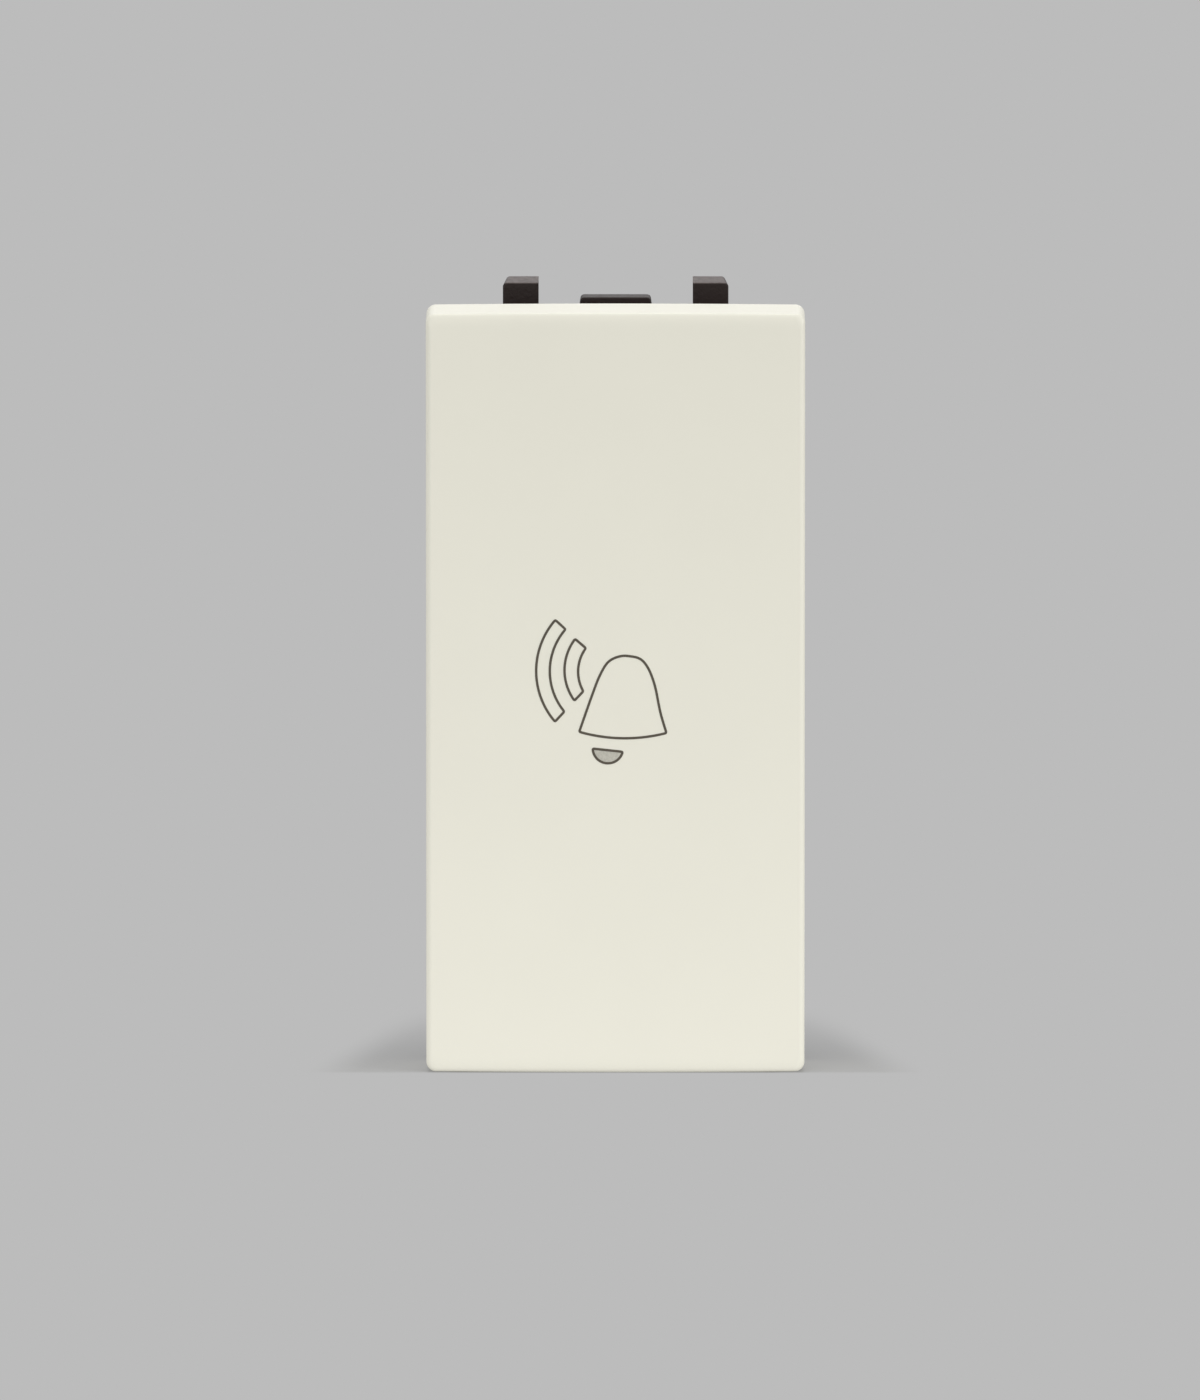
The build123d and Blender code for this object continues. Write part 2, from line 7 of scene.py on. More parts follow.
import bpy
import numpy as np
from bpy.props import FloatProperty, FloatVectorProperty, IntProperty, PointerProperty
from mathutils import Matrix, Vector


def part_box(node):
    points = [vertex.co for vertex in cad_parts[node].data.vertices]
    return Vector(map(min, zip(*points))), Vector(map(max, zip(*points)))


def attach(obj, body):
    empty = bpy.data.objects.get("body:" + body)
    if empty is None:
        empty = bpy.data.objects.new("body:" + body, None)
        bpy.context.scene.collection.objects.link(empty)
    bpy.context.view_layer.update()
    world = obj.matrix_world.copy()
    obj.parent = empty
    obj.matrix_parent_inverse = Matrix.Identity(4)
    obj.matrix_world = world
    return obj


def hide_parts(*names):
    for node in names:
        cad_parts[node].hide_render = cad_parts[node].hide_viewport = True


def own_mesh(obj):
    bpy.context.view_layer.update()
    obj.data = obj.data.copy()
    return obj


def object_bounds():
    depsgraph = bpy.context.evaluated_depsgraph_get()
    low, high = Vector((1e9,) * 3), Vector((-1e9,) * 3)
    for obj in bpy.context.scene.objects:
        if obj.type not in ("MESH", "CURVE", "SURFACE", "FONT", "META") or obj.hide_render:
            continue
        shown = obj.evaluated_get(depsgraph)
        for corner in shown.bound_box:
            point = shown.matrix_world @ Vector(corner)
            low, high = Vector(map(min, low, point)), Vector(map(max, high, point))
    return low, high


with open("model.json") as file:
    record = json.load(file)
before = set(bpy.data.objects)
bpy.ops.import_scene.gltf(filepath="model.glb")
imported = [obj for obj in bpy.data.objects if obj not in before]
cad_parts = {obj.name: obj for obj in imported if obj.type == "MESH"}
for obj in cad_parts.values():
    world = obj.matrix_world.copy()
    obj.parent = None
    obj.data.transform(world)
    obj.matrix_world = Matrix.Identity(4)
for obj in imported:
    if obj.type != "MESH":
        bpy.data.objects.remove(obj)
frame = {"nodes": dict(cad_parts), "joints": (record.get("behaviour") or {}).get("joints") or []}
cad_low, cad_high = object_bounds()

bl_info = {
    "name": "Bell Push",
    "version": (1, 0, 0),
    "blender": (4, 5, 0),
    "location": "3D View > Sidebar > Bell Push",
    "description": "Builds the key, print, springs, screws, finishes and stage of a one-module bell push",
    "category": "Object",
}

MM = 0.001
SIDES = ("left", "right")
PIXELS_WIDE = 1200
PIXELS_HIGH = 1400

# Most values of a noise lie between these
NOISE_LOW = 0.3
NOISE_HIGH = 0.7


def length(name, description, default):
    """A size in metres that a user may change."""
    return FloatProperty(
        name=name, description=description, default=default, min=0.0, unit="LENGTH", precision=5
    )


def colour(name, description, default):
    """A linear colour that a user may change."""
    return FloatVectorProperty(
        name=name, description=description, default=default, size=3, min=0.0, max=1.0, subtype="COLOR"
    )


def amount(name, description, default):
    """A plain number that a user may change."""
    return FloatProperty(name=name, description=description, default=default, min=0.0)


def angle(name, description, default):
    """An angle that a user may change. The default is given in degrees."""
    return FloatProperty(
        name=name, description=description, default=math.radians(default), subtype="ANGLE"
    )


class BellPushKey(bpy.types.PropertyGroup):
    """Sizes of the key and its clips"""

    end_round: length("End rounding", "Height of the rounding at the key's top and bottom", 0.8 * MM)
    end_depth: length("End rounding depth", "Depth of the rounding at the top and bottom", 0.2 * MM)
    side_round: length("Side rounding", "Radius of the key's side edges", 0.35 * MM)
    corner: length("Corner radius", "Radius of the key's corners in front view", 0.55 * MM)
    crown: length("Crown", "Rise of the top and bottom edges at their middle", 0.06 * MM)
    front_wall: length("Front wall", "Thickness of the key's front", 1.6 * MM)
    side_wall: length("Side wall", "Thickness of the key's skirt", 1.1 * MM)
    rim_round: length("Rim rounding", "Radius of the skirt's rear edges", 0.12 * MM)
    inner_round: length("Inner rounding", "Radius where the skirt meets the front inside", 0.3 * MM)
    clip_offset: length("Clip offset", "Distance of the clips from the key's middle", 9.0 * MM)
    clip_width: length("Clip width", "Width of one clip", 3.0 * MM)
    clip_leg: length("Clip leg", "Thickness of a clip's leg", 0.9 * MM)
    clip_lip: length("Clip lip", "Reach and thickness of a clip's lip", 0.7 * MM)
    clip_root: length("Clip root", "How far a clip's leg reaches into the key's front", 0.1 * MM)
    clip_gap: length("Clip gap", "Clearance between a clip's leg and the carrier's plate", 0.1 * MM)
    clip_play: length("Clip play", "Clearance between a clip's lip and the plate's back", 0.05 * MM)
    carrier_plate: length("Carrier plate", "Thickness of the plate that the clips hold", 1.6 * MM)


class BellPushPrint(bpy.types.PropertyGroup):
    """Sizes of the printed bell"""

    line: length("Line width", "Width of the printed lines", 0.145 * MM)
    height: length("Ink height", "How far the lines stand proud of the key", 0.015 * MM)
    fill_height: length("Fill height", "How far the clapper's fill stands proud of the key", 0.009 * MM)
    bite: length("Ink bite", "How far the ink soaks into the key", 0.01 * MM)
    soften: length("Corner softness", "How far the ink has rounded the drawn corners", 0.06 * MM)
    spacing: length("Point spacing", "Distance between points along a line", 0.03 * MM)
    rise: length("Rise", "Height of the drawing's middle above the key's", 0.03 * MM)


class BellPushMetal(bpy.types.PropertyGroup):
    """Sizes of the terminal screws and the springs"""

    pitch: length("Thread pitch", "Rise of the screw thread in one turn", 0.5 * MM)
    thread: length("Thread depth", "Depth of the screw thread", 0.22 * MM)
    shank: length("Shank radius", "Radius of the screw's shank over its thread", 1.45 * MM)
    overlap: length("Overlap", "How far the shank reaches into the screw's head", 0.2 * MM)
    chamfer: length("Chamfer depth", "Depth of the chamfer at the screw's tip", 0.3 * MM)
    chamfer_length: length("Chamfer length", "Length of the chamfer at the screw's tip", 0.4 * MM)
    slot: length("Slot width", "Width of the screwdriver slot", 0.8 * MM)
    slot_depth: length("Slot depth", "Depth of the screwdriver slot", 0.9 * MM)
    head_height: length("Head height", "Height of the screw's head", 1.8 * MM)
    head_edge: length("Head edge", "Radius of the head's outer edges", 0.22 * MM)
    return_wire: length("Return wire", "Wire diameter of the return spring", 0.4 * MM)
    return_turns: IntProperty(name="Return turns", description="Turns of the return spring", default=6)
    contact_wire: length("Contact wire", "Wire diameter of the contact spring", 0.3 * MM)
    contact_turns: IntProperty(name="Contact turns", description="Turns of the contact spring", default=6)


class BellPushFinish(bpy.types.PropertyGroup):
    """Colours of the materials, and how they are worn"""

    cream: colour("Key", "Moulded cream plastic of the key", (0.800, 0.782, 0.678))
    ink: colour("Ink", "Printed lines of the bell", (0.080, 0.066, 0.046))
    clapper: colour("Clapper ink", "Printed fill of the clapper", (0.47, 0.455, 0.39))
    dark: colour("Dark plastic", "Mouldings of the body", (0.017, 0.0070, 0.0048))
    # Lighter tone of the lugs' crests: partly real scuffing, partly a painted highlight on their top faces
    scuffed: colour("Scuffed plastic", "Worn tops of the snap lugs", (0.115, 0.084, 0.077))
    cover: colour("Cover plastic", "Insulating cover", (0.20, 0.19, 0.175))
    acetal: colour("Plunger plastic", "Natural acetal of the plunger", (0.70, 0.69, 0.64))
    brass: colour("Brass", "Rolled brass of the contacts", (0.78, 0.56, 0.26))
    silver: colour("Silver", "Contact tips", (0.88, 0.87, 0.83))
    zinc: colour("Zinc", "Plated steel of cages and screws", (0.66, 0.67, 0.66))
    steel: colour("Spring steel", "Stainless spring wire", (0.58, 0.57, 0.55))
    # Reach and patches of the lighter crests, which are partly wear and partly a painted highlight
    wear_depth: length("Wear depth", "How far down the lugs' tops are scuffed", 0.08 * MM)
    wear_patch: length("Wear patches", "Size of the scuffed patches", 0.3 * MM)
    # Painted shade: the screws' slots are darkened to this share of their heads' tone
    slot_shade_share: amount("Painted slot shade", "Brightness of the screws' slots as a share of their heads'", 0.2)


class BellPushStage(bpy.types.PropertyGroup):
    """Camera, floor, shadow and light"""

    azimuth: angle("Camera azimuth", "Turn of the camera to the right of the front", 0.1)
    elevation: angle("Camera elevation", "Height of the camera above the horizon", 7.0)
    distance: length("Camera distance", "From the camera to the key's face", 1.5)
    pixels_per_mm: amount("Pixels per mm", "Scale of the picture at the key's face", 17.07)
    right: amount("Pixels right", "Place of the key's middle right of the picture's middle", 15.4)
    up: amount("Pixels up", "Place of the key's middle above the picture's middle", 6.3)
    backdrop: colour("Backdrop", "Grey of the floor and of what lies behind it", (0.503, 0.503, 0.503))
    floor_reach: length("Floor reach", "Distance from the push to the floor's edges", 3.0)
    floor_gap: length("Floor gap", "Distance from the push's lowest point down to the floor", 0.02 * MM)
    shadow_side: length("Shadow width", "How far the shadow reaches beside the push at its front", 6.3 * MM)
    shadow_depth: length("Shadow depth", "How far the shadow reaches back from the key's face", 32 * MM)
    shadow_strength: amount("Shadow strength", "How much of the shadow shows beside the push", 0.8)
    shadow_fade: amount("Shadow fade", "Share of its reach where the shadow starts to fade", 0.6)
    shadow_end: amount("Shadow end", "Share of its reach where the shadow ends", 1.2)
    shadow_back: amount("Shadow back", "Share of its depth where the shadow beside the push ends", 0.9)
    shadow_edge: length("Shadow edge", "Softness of the front edge, a third of it before the key", 1.2 * MM)
    under_inside: length("Under inside", "From the side inward to the shadow underneath", 2.0 * MM)
    under_outside: length("Under outside", "From the side outward to that shadow's end", 0.5 * MM)
    bounce: amount("Bounce", "Level light that the floor throws back", 0.5)
    sky: amount("Sky light", "Level light from all round", 0.72)
    top_light: amount("Top light", "What the lamp above adds on a white face turned to it", 0.40)
    top_elevation: angle("Top lamp elevation", "Height of the lamp above the horizon", 90)
    side_light: amount("Side light", "What the lamp at the right adds on a white face turned to it", 0.24)
    side_azimuth: angle("Side lamp azimuth", "Turn of the side lamp to the right of the front", 60)
    side_elevation: angle("Side lamp elevation", "Height of the side lamp above the horizon", 10)
    front_light: amount("Front light", "What the lamp in front adds on a white face turned to it", 0.135)
    front_azimuth: angle("Front lamp azimuth", "Turn of the front lamp to the right of the front", -30)
    front_elevation: angle("Front lamp elevation", "Height of the front lamp above the horizon", 12)
    rear_light: amount("Rear light", "What the lamp behind adds on a white face turned to it", 0.036)
    rear_elevation: angle("Rear lamp elevation", "Height of the rear lamp above the horizon", 15)
    card_light: amount("Card light", "Brightness of the card that lies before the key", 0.40)
    card_gap: length("Card gap", "Distance from the key's face to the card", 0.05 * MM)
    card_height: length("Card height", "Height of the card over the push's lowest point", 0.02 * MM)
    card_width: length("Card width", "Width of the card before the key", 160 * MM)
    card_depth: length("Card depth", "Depth of the card before the key", 70 * MM)


# Mesh building


def outward(points, quads, triangles):
    """The same faces, turned so that they point outwards.

    The signed volume is a sixth of the sum of a . (b x c) over all triangles, and it is negative when
    the faces point inwards.
    """
    corners = np.concatenate([triangles, quads[:, [0, 1, 2]], quads[:, [0, 2, 3]]])
    a, b, c = (points[corners[:, i]] for i in range(3))
    if np.einsum("ij,ij->", a, np.cross(b, c)) < 0:
        return quads[:, ::-1], triangles[:, ::-1]
    return quads, triangles


def skin(rings, closed=False):
    """A closed surface over a stack of rings, given as an array of rings x points x 3.

    Point j of ring i joins to its neighbours j + 1 and i + 1. The two end rings are closed by fans about
    their mean points, or joined to each other where the stack is itself a loop.
    """
    count, around = rings.shape[:2]
    i, j = np.indices((count if closed else count - 1, around)).reshape(2, -1)
    i_next, j_next = (i + 1) % count, (j + 1) % around
    quads = np.stack([i * around + j, i * around + j_next, i_next * around + j_next, i_next * around + j], 1)
    points = rings.reshape(-1, 3)
    triangles = np.zeros((0, 3), int)
    if not closed:
        first, last = len(points), len(points) + 1
        points = np.vstack([points, rings[0].mean(0), rings[-1].mean(0)])
        j = np.arange(around)
        j_next = (j + 1) % around
        base = (count - 1) * around
        start = np.stack([np.full(around, first), j_next, j], 1)
        end = np.stack([np.full(around, last), base + j, base + j_next], 1)
        triangles = np.concatenate([start, end])
    quads, triangles = outward(points, quads, triangles)
    return points, quads, triangles


def joined(shells):
    """Several closed surfaces as one set of points and faces."""
    points, quads, triangles, offset = [], [], [], 0
    for shell_points, shell_quads, shell_triangles in shells:
        points.append(shell_points)
        quads.append(shell_quads + offset)
        triangles.append(shell_triangles + offset)
        offset += len(shell_points)
    return np.vstack(points), np.vstack(quads), np.vstack(triangles)


def new_piece(name, surface, sharp_angle=35.0):
    """An object made of that surface, smooth but for edges sharper than the angle, in degrees."""
    points, quads, triangles = surface
    mesh = bpy.data.meshes.new(name)
    mesh.from_pydata(points.tolist(), [], quads.tolist() + triangles.tolist())
    mesh.validate()
    mesh.shade_smooth()
    mesh.set_sharp_from_angle(angle=math.radians(sharp_angle))
    piece = bpy.data.objects.new(name, mesh)
    bpy.context.scene.collection.objects.link(piece)
    return piece


def finished(piece, material, slot, body, *replaced):
    """Give the piece its material and its place in the frame."""
    piece.data.materials.append(material)
    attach(piece, body)
    if replaced:
        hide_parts(*replaced)


def outline_plan(arc_steps, side_steps, end_steps):
    """Directions round a rounded rectangle: normal angle, and the corner centre as shares of its reach.

    Each quarter turn holds the corner's centre still while the angle runs through 90 degrees, then holds
    the angle while the centre moves along the next edge.
    """
    corners = [(1, 1), (-1, 1), (-1, -1), (1, -1)]
    angles, across, upward = [], [], []
    for k, (x, z) in enumerate(corners):
        x_next, z_next = corners[(k + 1) % 4]
        steps = end_steps if k % 2 == 0 else side_steps
        along = np.linspace(0, 1, steps + 1)[1:-1]
        angles += [np.linspace(k, k + 1, arc_steps + 1), np.full(steps - 1, k + 1.0)]
        across += [np.full(arc_steps + 1, x), x + (x_next - x) * along]
        upward += [np.full(arc_steps + 1, z), z + (z_next - z) * along]
    return np.concatenate(angles) * math.pi / 2, np.concatenate(across), np.concatenate(upward)


def outline_rings(plan, half_width, half_height, radius, depth):
    """Rings on that plan, one for each row of the sizes: x, y and z of every point.

    A point is its corner's centre, (half size - radius) times its share, plus the radius along the normal.
    """
    angles, across, upward = plan
    x = (half_width - radius) * across + radius * np.cos(angles)
    z = (half_height - radius) * upward + radius * np.sin(angles)
    return np.stack(np.broadcast_arrays(x, depth, z), axis=-1)


def column(*values):
    """Values as a column, one for each ring."""
    return np.concatenate([np.atleast_1d(np.asarray(value, float)) for value in values])[:, None]


def key_shell(sizes, low, high):
    """The key's hollow shell.

    In front view it is a rounded rectangle whose top and bottom bow out by crown (1 - (x / half width)^2).
    Its profile runs from the face's middle over the edge rounding, down the skirt, round the rim, up the
    inside and to the middle again. The edge rounding is a quarter circle at the sides and a quarter of an
    ellipse, higher but less deep, at the top and bottom. Its depth goes from the one to the other with the
    squared sine of the normal's angle. The shares that place the rings crowd them towards the edges.
    """
    half_width = (high.x - low.x) / 2
    half_height = (high.z - low.z) / 2 - sizes.crown
    face, back = low.y, high.y
    plan = outline_plan(arc_steps=14, side_steps=10, end_steps=40)
    flat_corner = sizes.corner - sizes.side_round
    flat_width, flat_height = half_width - sizes.side_round, half_height - sizes.end_round

    shares = column(0.05, 0.3, 0.6, 0.85, 0.95, 0.985, 0.997)
    flat = outline_rings(plan, flat_width * shares, flat_height * shares, flat_corner * shares, face)

    round_depth = sizes.side_round + (sizes.end_depth - sizes.side_round) * np.sin(plan[0]) ** 2
    turn = column(np.linspace(0, math.pi / 2, 15))
    rounding = outline_rings(
        plan,
        half_width - sizes.side_round * (1 - np.sin(turn)),
        half_height - sizes.end_round * (1 - np.sin(turn)),
        flat_corner + (sizes.corner - flat_corner) * np.sin(turn),
        face + round_depth * (1 - np.cos(turn)),
    )

    down = column(0.03, 0.5, 0.97)
    skirt_start, skirt_end = face + round_depth, back - sizes.rim_round
    skirt = outline_rings(
        plan, half_width, half_height, sizes.corner, skirt_start + (skirt_end - skirt_start) * down
    )

    rim_turn = column(np.linspace(0, math.pi / 2, 5))
    rim_inset = sizes.rim_round * (1 - np.cos(rim_turn))
    outer_rim = outline_rings(
        plan,
        half_width - rim_inset,
        half_height - rim_inset,
        sizes.corner - rim_inset,
        skirt_end + sizes.rim_round * np.sin(rim_turn),
    )
    inner_width, inner_height = half_width - sizes.side_wall, half_height - sizes.side_wall
    inner_rim = outline_rings(
        plan,
        inner_width + rim_inset[::-1],
        inner_height + rim_inset[::-1],
        sizes.inner_round + rim_inset[::-1],
        back - sizes.rim_round * (1 - np.sin(rim_turn[::-1])),
    )

    ceiling = face + sizes.front_wall
    last_corner = 0.1 * sizes.inner_round
    inside_turn = column(np.linspace(0, math.pi / 2, 6))
    inside_share = 1 - np.cos(inside_turn)
    inside_inset = sizes.inner_round * inside_share
    inside = outline_rings(
        plan,
        inner_width - inside_inset,
        inner_height - inside_inset,
        sizes.inner_round + (last_corner - sizes.inner_round) * inside_share,
        ceiling + sizes.inner_round * (1 - np.sin(inside_turn)),
    )
    inward = column(0.997, 0.95, 0.6, 0.3, 0.05)
    inner_face = outline_rings(
        plan,
        (inner_width - sizes.inner_round) * inward,
        (inner_height - sizes.inner_round) * inward,
        last_corner * inward,
        ceiling,
    )
    rings = np.concatenate([flat, rounding, skirt, outer_rim, inner_rim, inside, inner_face])
    x, z = rings[..., 0], rings[..., 2]
    rings[..., 2] = z + sizes.crown * (z / half_height) * (1 - (x / half_width) ** 2)
    return skin(rings)


def prism(profile, low, high):
    """A straight bar along Z over a closed profile of X and Y points."""
    return skin(np.stack([np.column_stack([profile, np.full(len(profile), z)]) for z in (low, high)]))


def key_clip(sizes, side, end, ceiling):
    """One clip under the key: a leg beside the carrier's plate, and a lip that is hooked behind it."""
    low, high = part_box("rocker_carrier")
    root = ceiling - sizes.clip_root
    inner = high.x + sizes.clip_gap
    outer = inner + sizes.clip_leg
    lip_front = low.y + sizes.carrier_plate + sizes.clip_play
    lip_back = lip_front + sizes.clip_lip
    lip_end = high.x - sizes.clip_lip
    slope = sizes.clip_lip / 3
    leg = [(inner, root), (outer, root), (outer, lip_back), (inner, lip_back)]
    lip = [(inner, lip_front), (inner, lip_back), (lip_end, lip_front + slope), (lip_end, lip_front)]
    middle = end * sizes.clip_offset
    reach = sizes.clip_width / 2
    return [prism(np.array(points) * (side, 1), middle - reach, middle + reach) for points in (leg, lip)]


# The printed bell, in millimetres from the middle of the key's face: X to the right and Z up

OUTER_WAVE = {
    "outer": ((-3.52, 4.32), (-4.64, 1.39), (-3.54, -1.68)),
    "inner": ((-2.99, -1.09), (-3.84, 1.45), (-2.92, 3.77)),
}
INNER_WAVE = {
    "outer": ((-2.36, 3.20), (-2.98, 1.45), (-2.40, -0.44)),
    "inner": ((-1.88, 0.11), (-2.18, 1.42), (-1.73, 2.66)),
}
BELL_DOME = [
    (-2.12, -2.28), (-1.25, 0.20), (-0.88, 1.11), (-0.44, 1.82), (0.10, 2.13),
    (0.70, 2.20), (1.58, 1.93), (2.21, 0.78), (2.65, -1.19), (2.99, -2.35),
]
BELL_MOUTH = (0.55, -2.66)
CLAPPER = ((-1.33, -3.27), (-0.43, -4.14), (0.43, -3.46))


def arc_through(start, middle, end, steps=60):
    """Points along the circle through three points, without the last.

    The centre is as far from the first point as from the two others, which gives two linear equations.
    """
    p, q, r = (np.array(point, float) for point in (start, middle, end))
    centre = np.linalg.solve(2 * np.array([q - p, r - p]), [q @ q - p @ p, r @ r - p @ p])
    bearing = np.unwrap([math.atan2(*(point - centre)[::-1]) for point in (p, q, r)])
    turn = np.linspace(bearing[0], bearing[2], steps, endpoint=False)
    return centre + np.linalg.norm(p - centre) * np.column_stack([np.cos(turn), np.sin(turn)])


def curve_through(knots, steps=20):
    """Points along a smooth curve through the knots, without the last.

    Each stretch is a cubic Hermite curve. At a knot its direction is that of the line between the two
    neighbours, and its speed is the stretch's own length.
    """
    knots = np.array(knots, float)
    heading = np.gradient(knots, axis=0)
    heading /= np.linalg.norm(heading, axis=1)[:, None]
    reach = np.linalg.norm(np.diff(knots, axis=0), axis=1)[:, None, None]
    t = np.linspace(0, 1, steps, endpoint=False)[None, :, None]
    start, end = knots[:-1, None], knots[1:, None]
    leave, arrive = heading[:-1, None] * reach, heading[1:, None] * reach
    points = (
        (2 * t**3 - 3 * t**2 + 1) * start
        + (t**3 - 2 * t**2 + t) * leave
        + (3 * t**2 - 2 * t**3) * end
        + (t**3 - t**2) * arrive
    )
    return points.reshape(-1, 2)


def softened(path, spacing, reach):
    """A closed path in even steps, with its corners rounded by about the reach.

    Term k of the loop's Fourier series is weighted by exp(-(2 pi k reach / length)^2 / 2), which is the
    same as averaging each point with its neighbours under a bell curve.
    """
    loop = np.vstack([path, path[:1]])
    run = np.concatenate([[0], np.cumsum(np.linalg.norm(np.diff(loop, axis=0), axis=1))])
    count = int(run[-1] / spacing)
    even = np.linspace(0, run[-1], count, endpoint=False)
    points = np.column_stack([np.interp(even, run, loop[:, i]) for i in range(2)])
    series = np.fft.rfft(points, axis=0)
    k = np.arange(len(series))[:, None]
    series *= np.exp(-((2 * math.pi * k * reach / run[-1]) ** 2) / 2)
    return np.fft.irfft(series, n=count, axis=0)


def inked(sizes, path, middle):
    """A drawn path as the ink lies: in metres, about the middle's height, with softened corners."""
    return softened(path * MM, sizes.spacing, sizes.soften) + (0, middle)


def normals_of(path):
    """Unit normals of a closed path, from each point's two neighbours."""
    along = np.roll(path, -1, axis=0) - np.roll(path, 1, axis=0)
    along /= np.linalg.norm(along, axis=1)[:, None]
    return np.column_stack([-along[:, 1], along[:, 0]])


def at_depth(flat, y):
    """A loop of X and Z points, set at that Y."""
    return np.column_stack([flat[:, 0], np.full(len(flat), y), flat[:, 1]])


def ribbon(path, width, front, back):
    """A flat closed band along a loop in X and Z, from the front to the back along Y."""
    shift = normals_of(path) * width / 2
    corners = [(path + shift, front), (path - shift, front), (path - shift, back), (path + shift, back)]
    return skin(np.stack([at_depth(flat, y) for flat, y in corners], axis=1), closed=True)


def plate(path, front, back):
    """A flat plate inside a loop in X and Z, in three rings that shrink to the middle on each face."""
    middle = path.mean(0)
    steps = [(0.05, front), (0.5, front), (1.0, front), (1.0, back), (0.5, back), (0.05, back)]
    return skin(np.stack([at_depth(middle + (path - middle) * share, y) for share, y in steps]))


def wave_path(wave):
    """The outline of one sound wave: two arcs joined by straight ends."""
    outer, inner = wave["outer"], wave["inner"]
    return np.vstack([arc_through(*outer), outer[-1], arc_through(*inner), inner[-1]])


def bell_path():
    """The outline of the bell: the dome and its mouth."""
    mouth = arc_through(BELL_DOME[-1], BELL_MOUTH, BELL_DOME[0])
    return np.vstack([curve_through(BELL_DOME), mouth])


def clapper_path():
    """The outline of the clapper: an arc closed by a straight line."""
    return np.vstack([arc_through(*CLAPPER), CLAPPER[2]])


# Springs and screws


def coil(low, high, wire, turns):
    """A compression spring along Y with closed, ground ends, in the box from low to high.

    The wire's middle climbs with s - fade sin(2 pi s) / (2 pi) of the share s of the turns, so that the
    pitch falls to 1 - fade of its mean at both ends. Each section is a circle square to the path. The
    middle starts less than half a wire inside the box, and what reaches past the box is ground flat.
    """
    fade = 0.8
    inset = 0.3 * wire
    turn_steps, section_steps = 40, 16
    centre = (np.array(low) + np.array(high)) / 2
    radius = (high.x - low.x) / 2 - wire / 2
    share = np.linspace(0, 1, turns * turn_steps + 1)
    turn = 2 * math.pi * turns * share
    climb = share - fade * np.sin(2 * math.pi * share) / (2 * math.pi)
    y = low.y + inset + (high.y - low.y - 2 * inset) * climb
    path = np.column_stack([centre[0] + radius * np.cos(turn), y, centre[2] + radius * np.sin(turn)])
    along = np.gradient(path, axis=0)
    along /= np.linalg.norm(along, axis=1)[:, None]
    out = np.column_stack([np.cos(turn), 0 * turn, np.sin(turn)])
    up = np.cross(along, out)
    bearing = np.linspace(0, 2 * math.pi, section_steps, endpoint=False)[None, :, None]
    rings = path[:, None] + wire / 2 * (np.cos(bearing) * out[:, None] + np.sin(bearing) * up[:, None])
    rings[..., 1] = np.clip(rings[..., 1], low.y, high.y)
    return skin(rings)


def rings_about(x, z, radius, y, turn):
    """Rings about an axis along Y, from each point's radius, Y and turn."""
    return np.stack(np.broadcast_arrays(x + radius * np.cos(turn), y, z + radius * np.sin(turn)), axis=-1)


def turned(profile, x, z, steps=96):
    """A turned piece about an axis along Y, over a profile of radius and Y."""
    turn = np.linspace(0, 2 * math.pi, steps, endpoint=False)
    radius, y = np.array(profile).T[..., None]
    return skin(rings_about(x, z, radius, y, turn))


def screw_shank(sizes, x, z, tip, head, turn_steps=60, pitch_steps=10):
    """The threaded shank. Its radius falls by the thread's depth times a triangle wave of y / pitch - turn.

    The wave is stretched by half about its middle and cut off at 0 and 1, which leaves narrow flats. The
    thread fades out over one pitch at both ends, and the tip has a chamfer.
    """
    y = np.linspace(tip, head, int((head - tip) / sizes.pitch * pitch_steps))[:, None]
    turn = np.linspace(0, 2 * math.pi, turn_steps, endpoint=False)
    phase = (y / sizes.pitch - turn / (2 * math.pi)) % 1.0
    wave = np.abs(2 * phase - 1)
    valley = np.clip(0.5 + 1.5 * (wave - 0.5), 0, 1)
    fade = np.clip(np.minimum(y - tip, head - y) / sizes.pitch, 0, 1)
    chamfer = sizes.chamfer * np.clip(1 - (y - tip) / sizes.chamfer_length, 0, 1)
    radius = sizes.shank - sizes.thread * valley * fade - chamfer
    return skin(rings_about(x, z, radius, y, turn))


def head_rounding(sizes, radius, end, inward):
    """The quarter circle at a head's edge, in rows of radius and Y from the head's side to its end face.

    At the angle a it lies edge (1 - cos a) within the radius and edge (1 - sin a) inward of the end.
    """
    roll = np.linspace(0, math.pi / 2, 6)
    within, short = sizes.head_edge * (1 - np.cos(roll)), sizes.head_edge * (1 - np.sin(roll))
    return np.column_stack([radius - within, end + inward * short])


def head_half(sizes, x, z, side, radius, low, high):
    """One of the two raised halves of a slotted head: a disc cut off by a chord beside the slot."""
    chord = sizes.slot / 2
    start = math.asin(chord / radius)
    turn = np.linspace(start, math.pi - start, 60)
    r, y = np.array([(radius, low), *head_rounding(sizes, radius, high, -1)]).T[..., None]
    upward = np.maximum(r * np.sin(turn), chord)
    return skin(np.stack(np.broadcast_arrays(x + r * np.cos(turn), y, z + side * upward), axis=-1))


def terminal_screw(sizes, node):
    """A slotted screw in the place of its CAD node. The head's underside starts hidden in the shank."""
    low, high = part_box(node)
    x, z = (low.x + high.x) / 2, (low.z + high.z) / 2
    radius = (high.x - low.x) / 2
    hidden = 0.9 * sizes.shank
    neck = high.y - sizes.head_height
    floor = high.y - sizes.slot_depth
    shank = screw_shank(sizes, x, z, low.y, neck + sizes.overlap)
    head = turned([(hidden, neck), *head_rounding(sizes, radius, neck, 1)[::-1], (radius, floor)], x, z)
    halves = [head_half(sizes, x, z, side, radius, floor, high.y) for side in (1, -1)]
    return joined([shank, head, *halves])


# Finishes


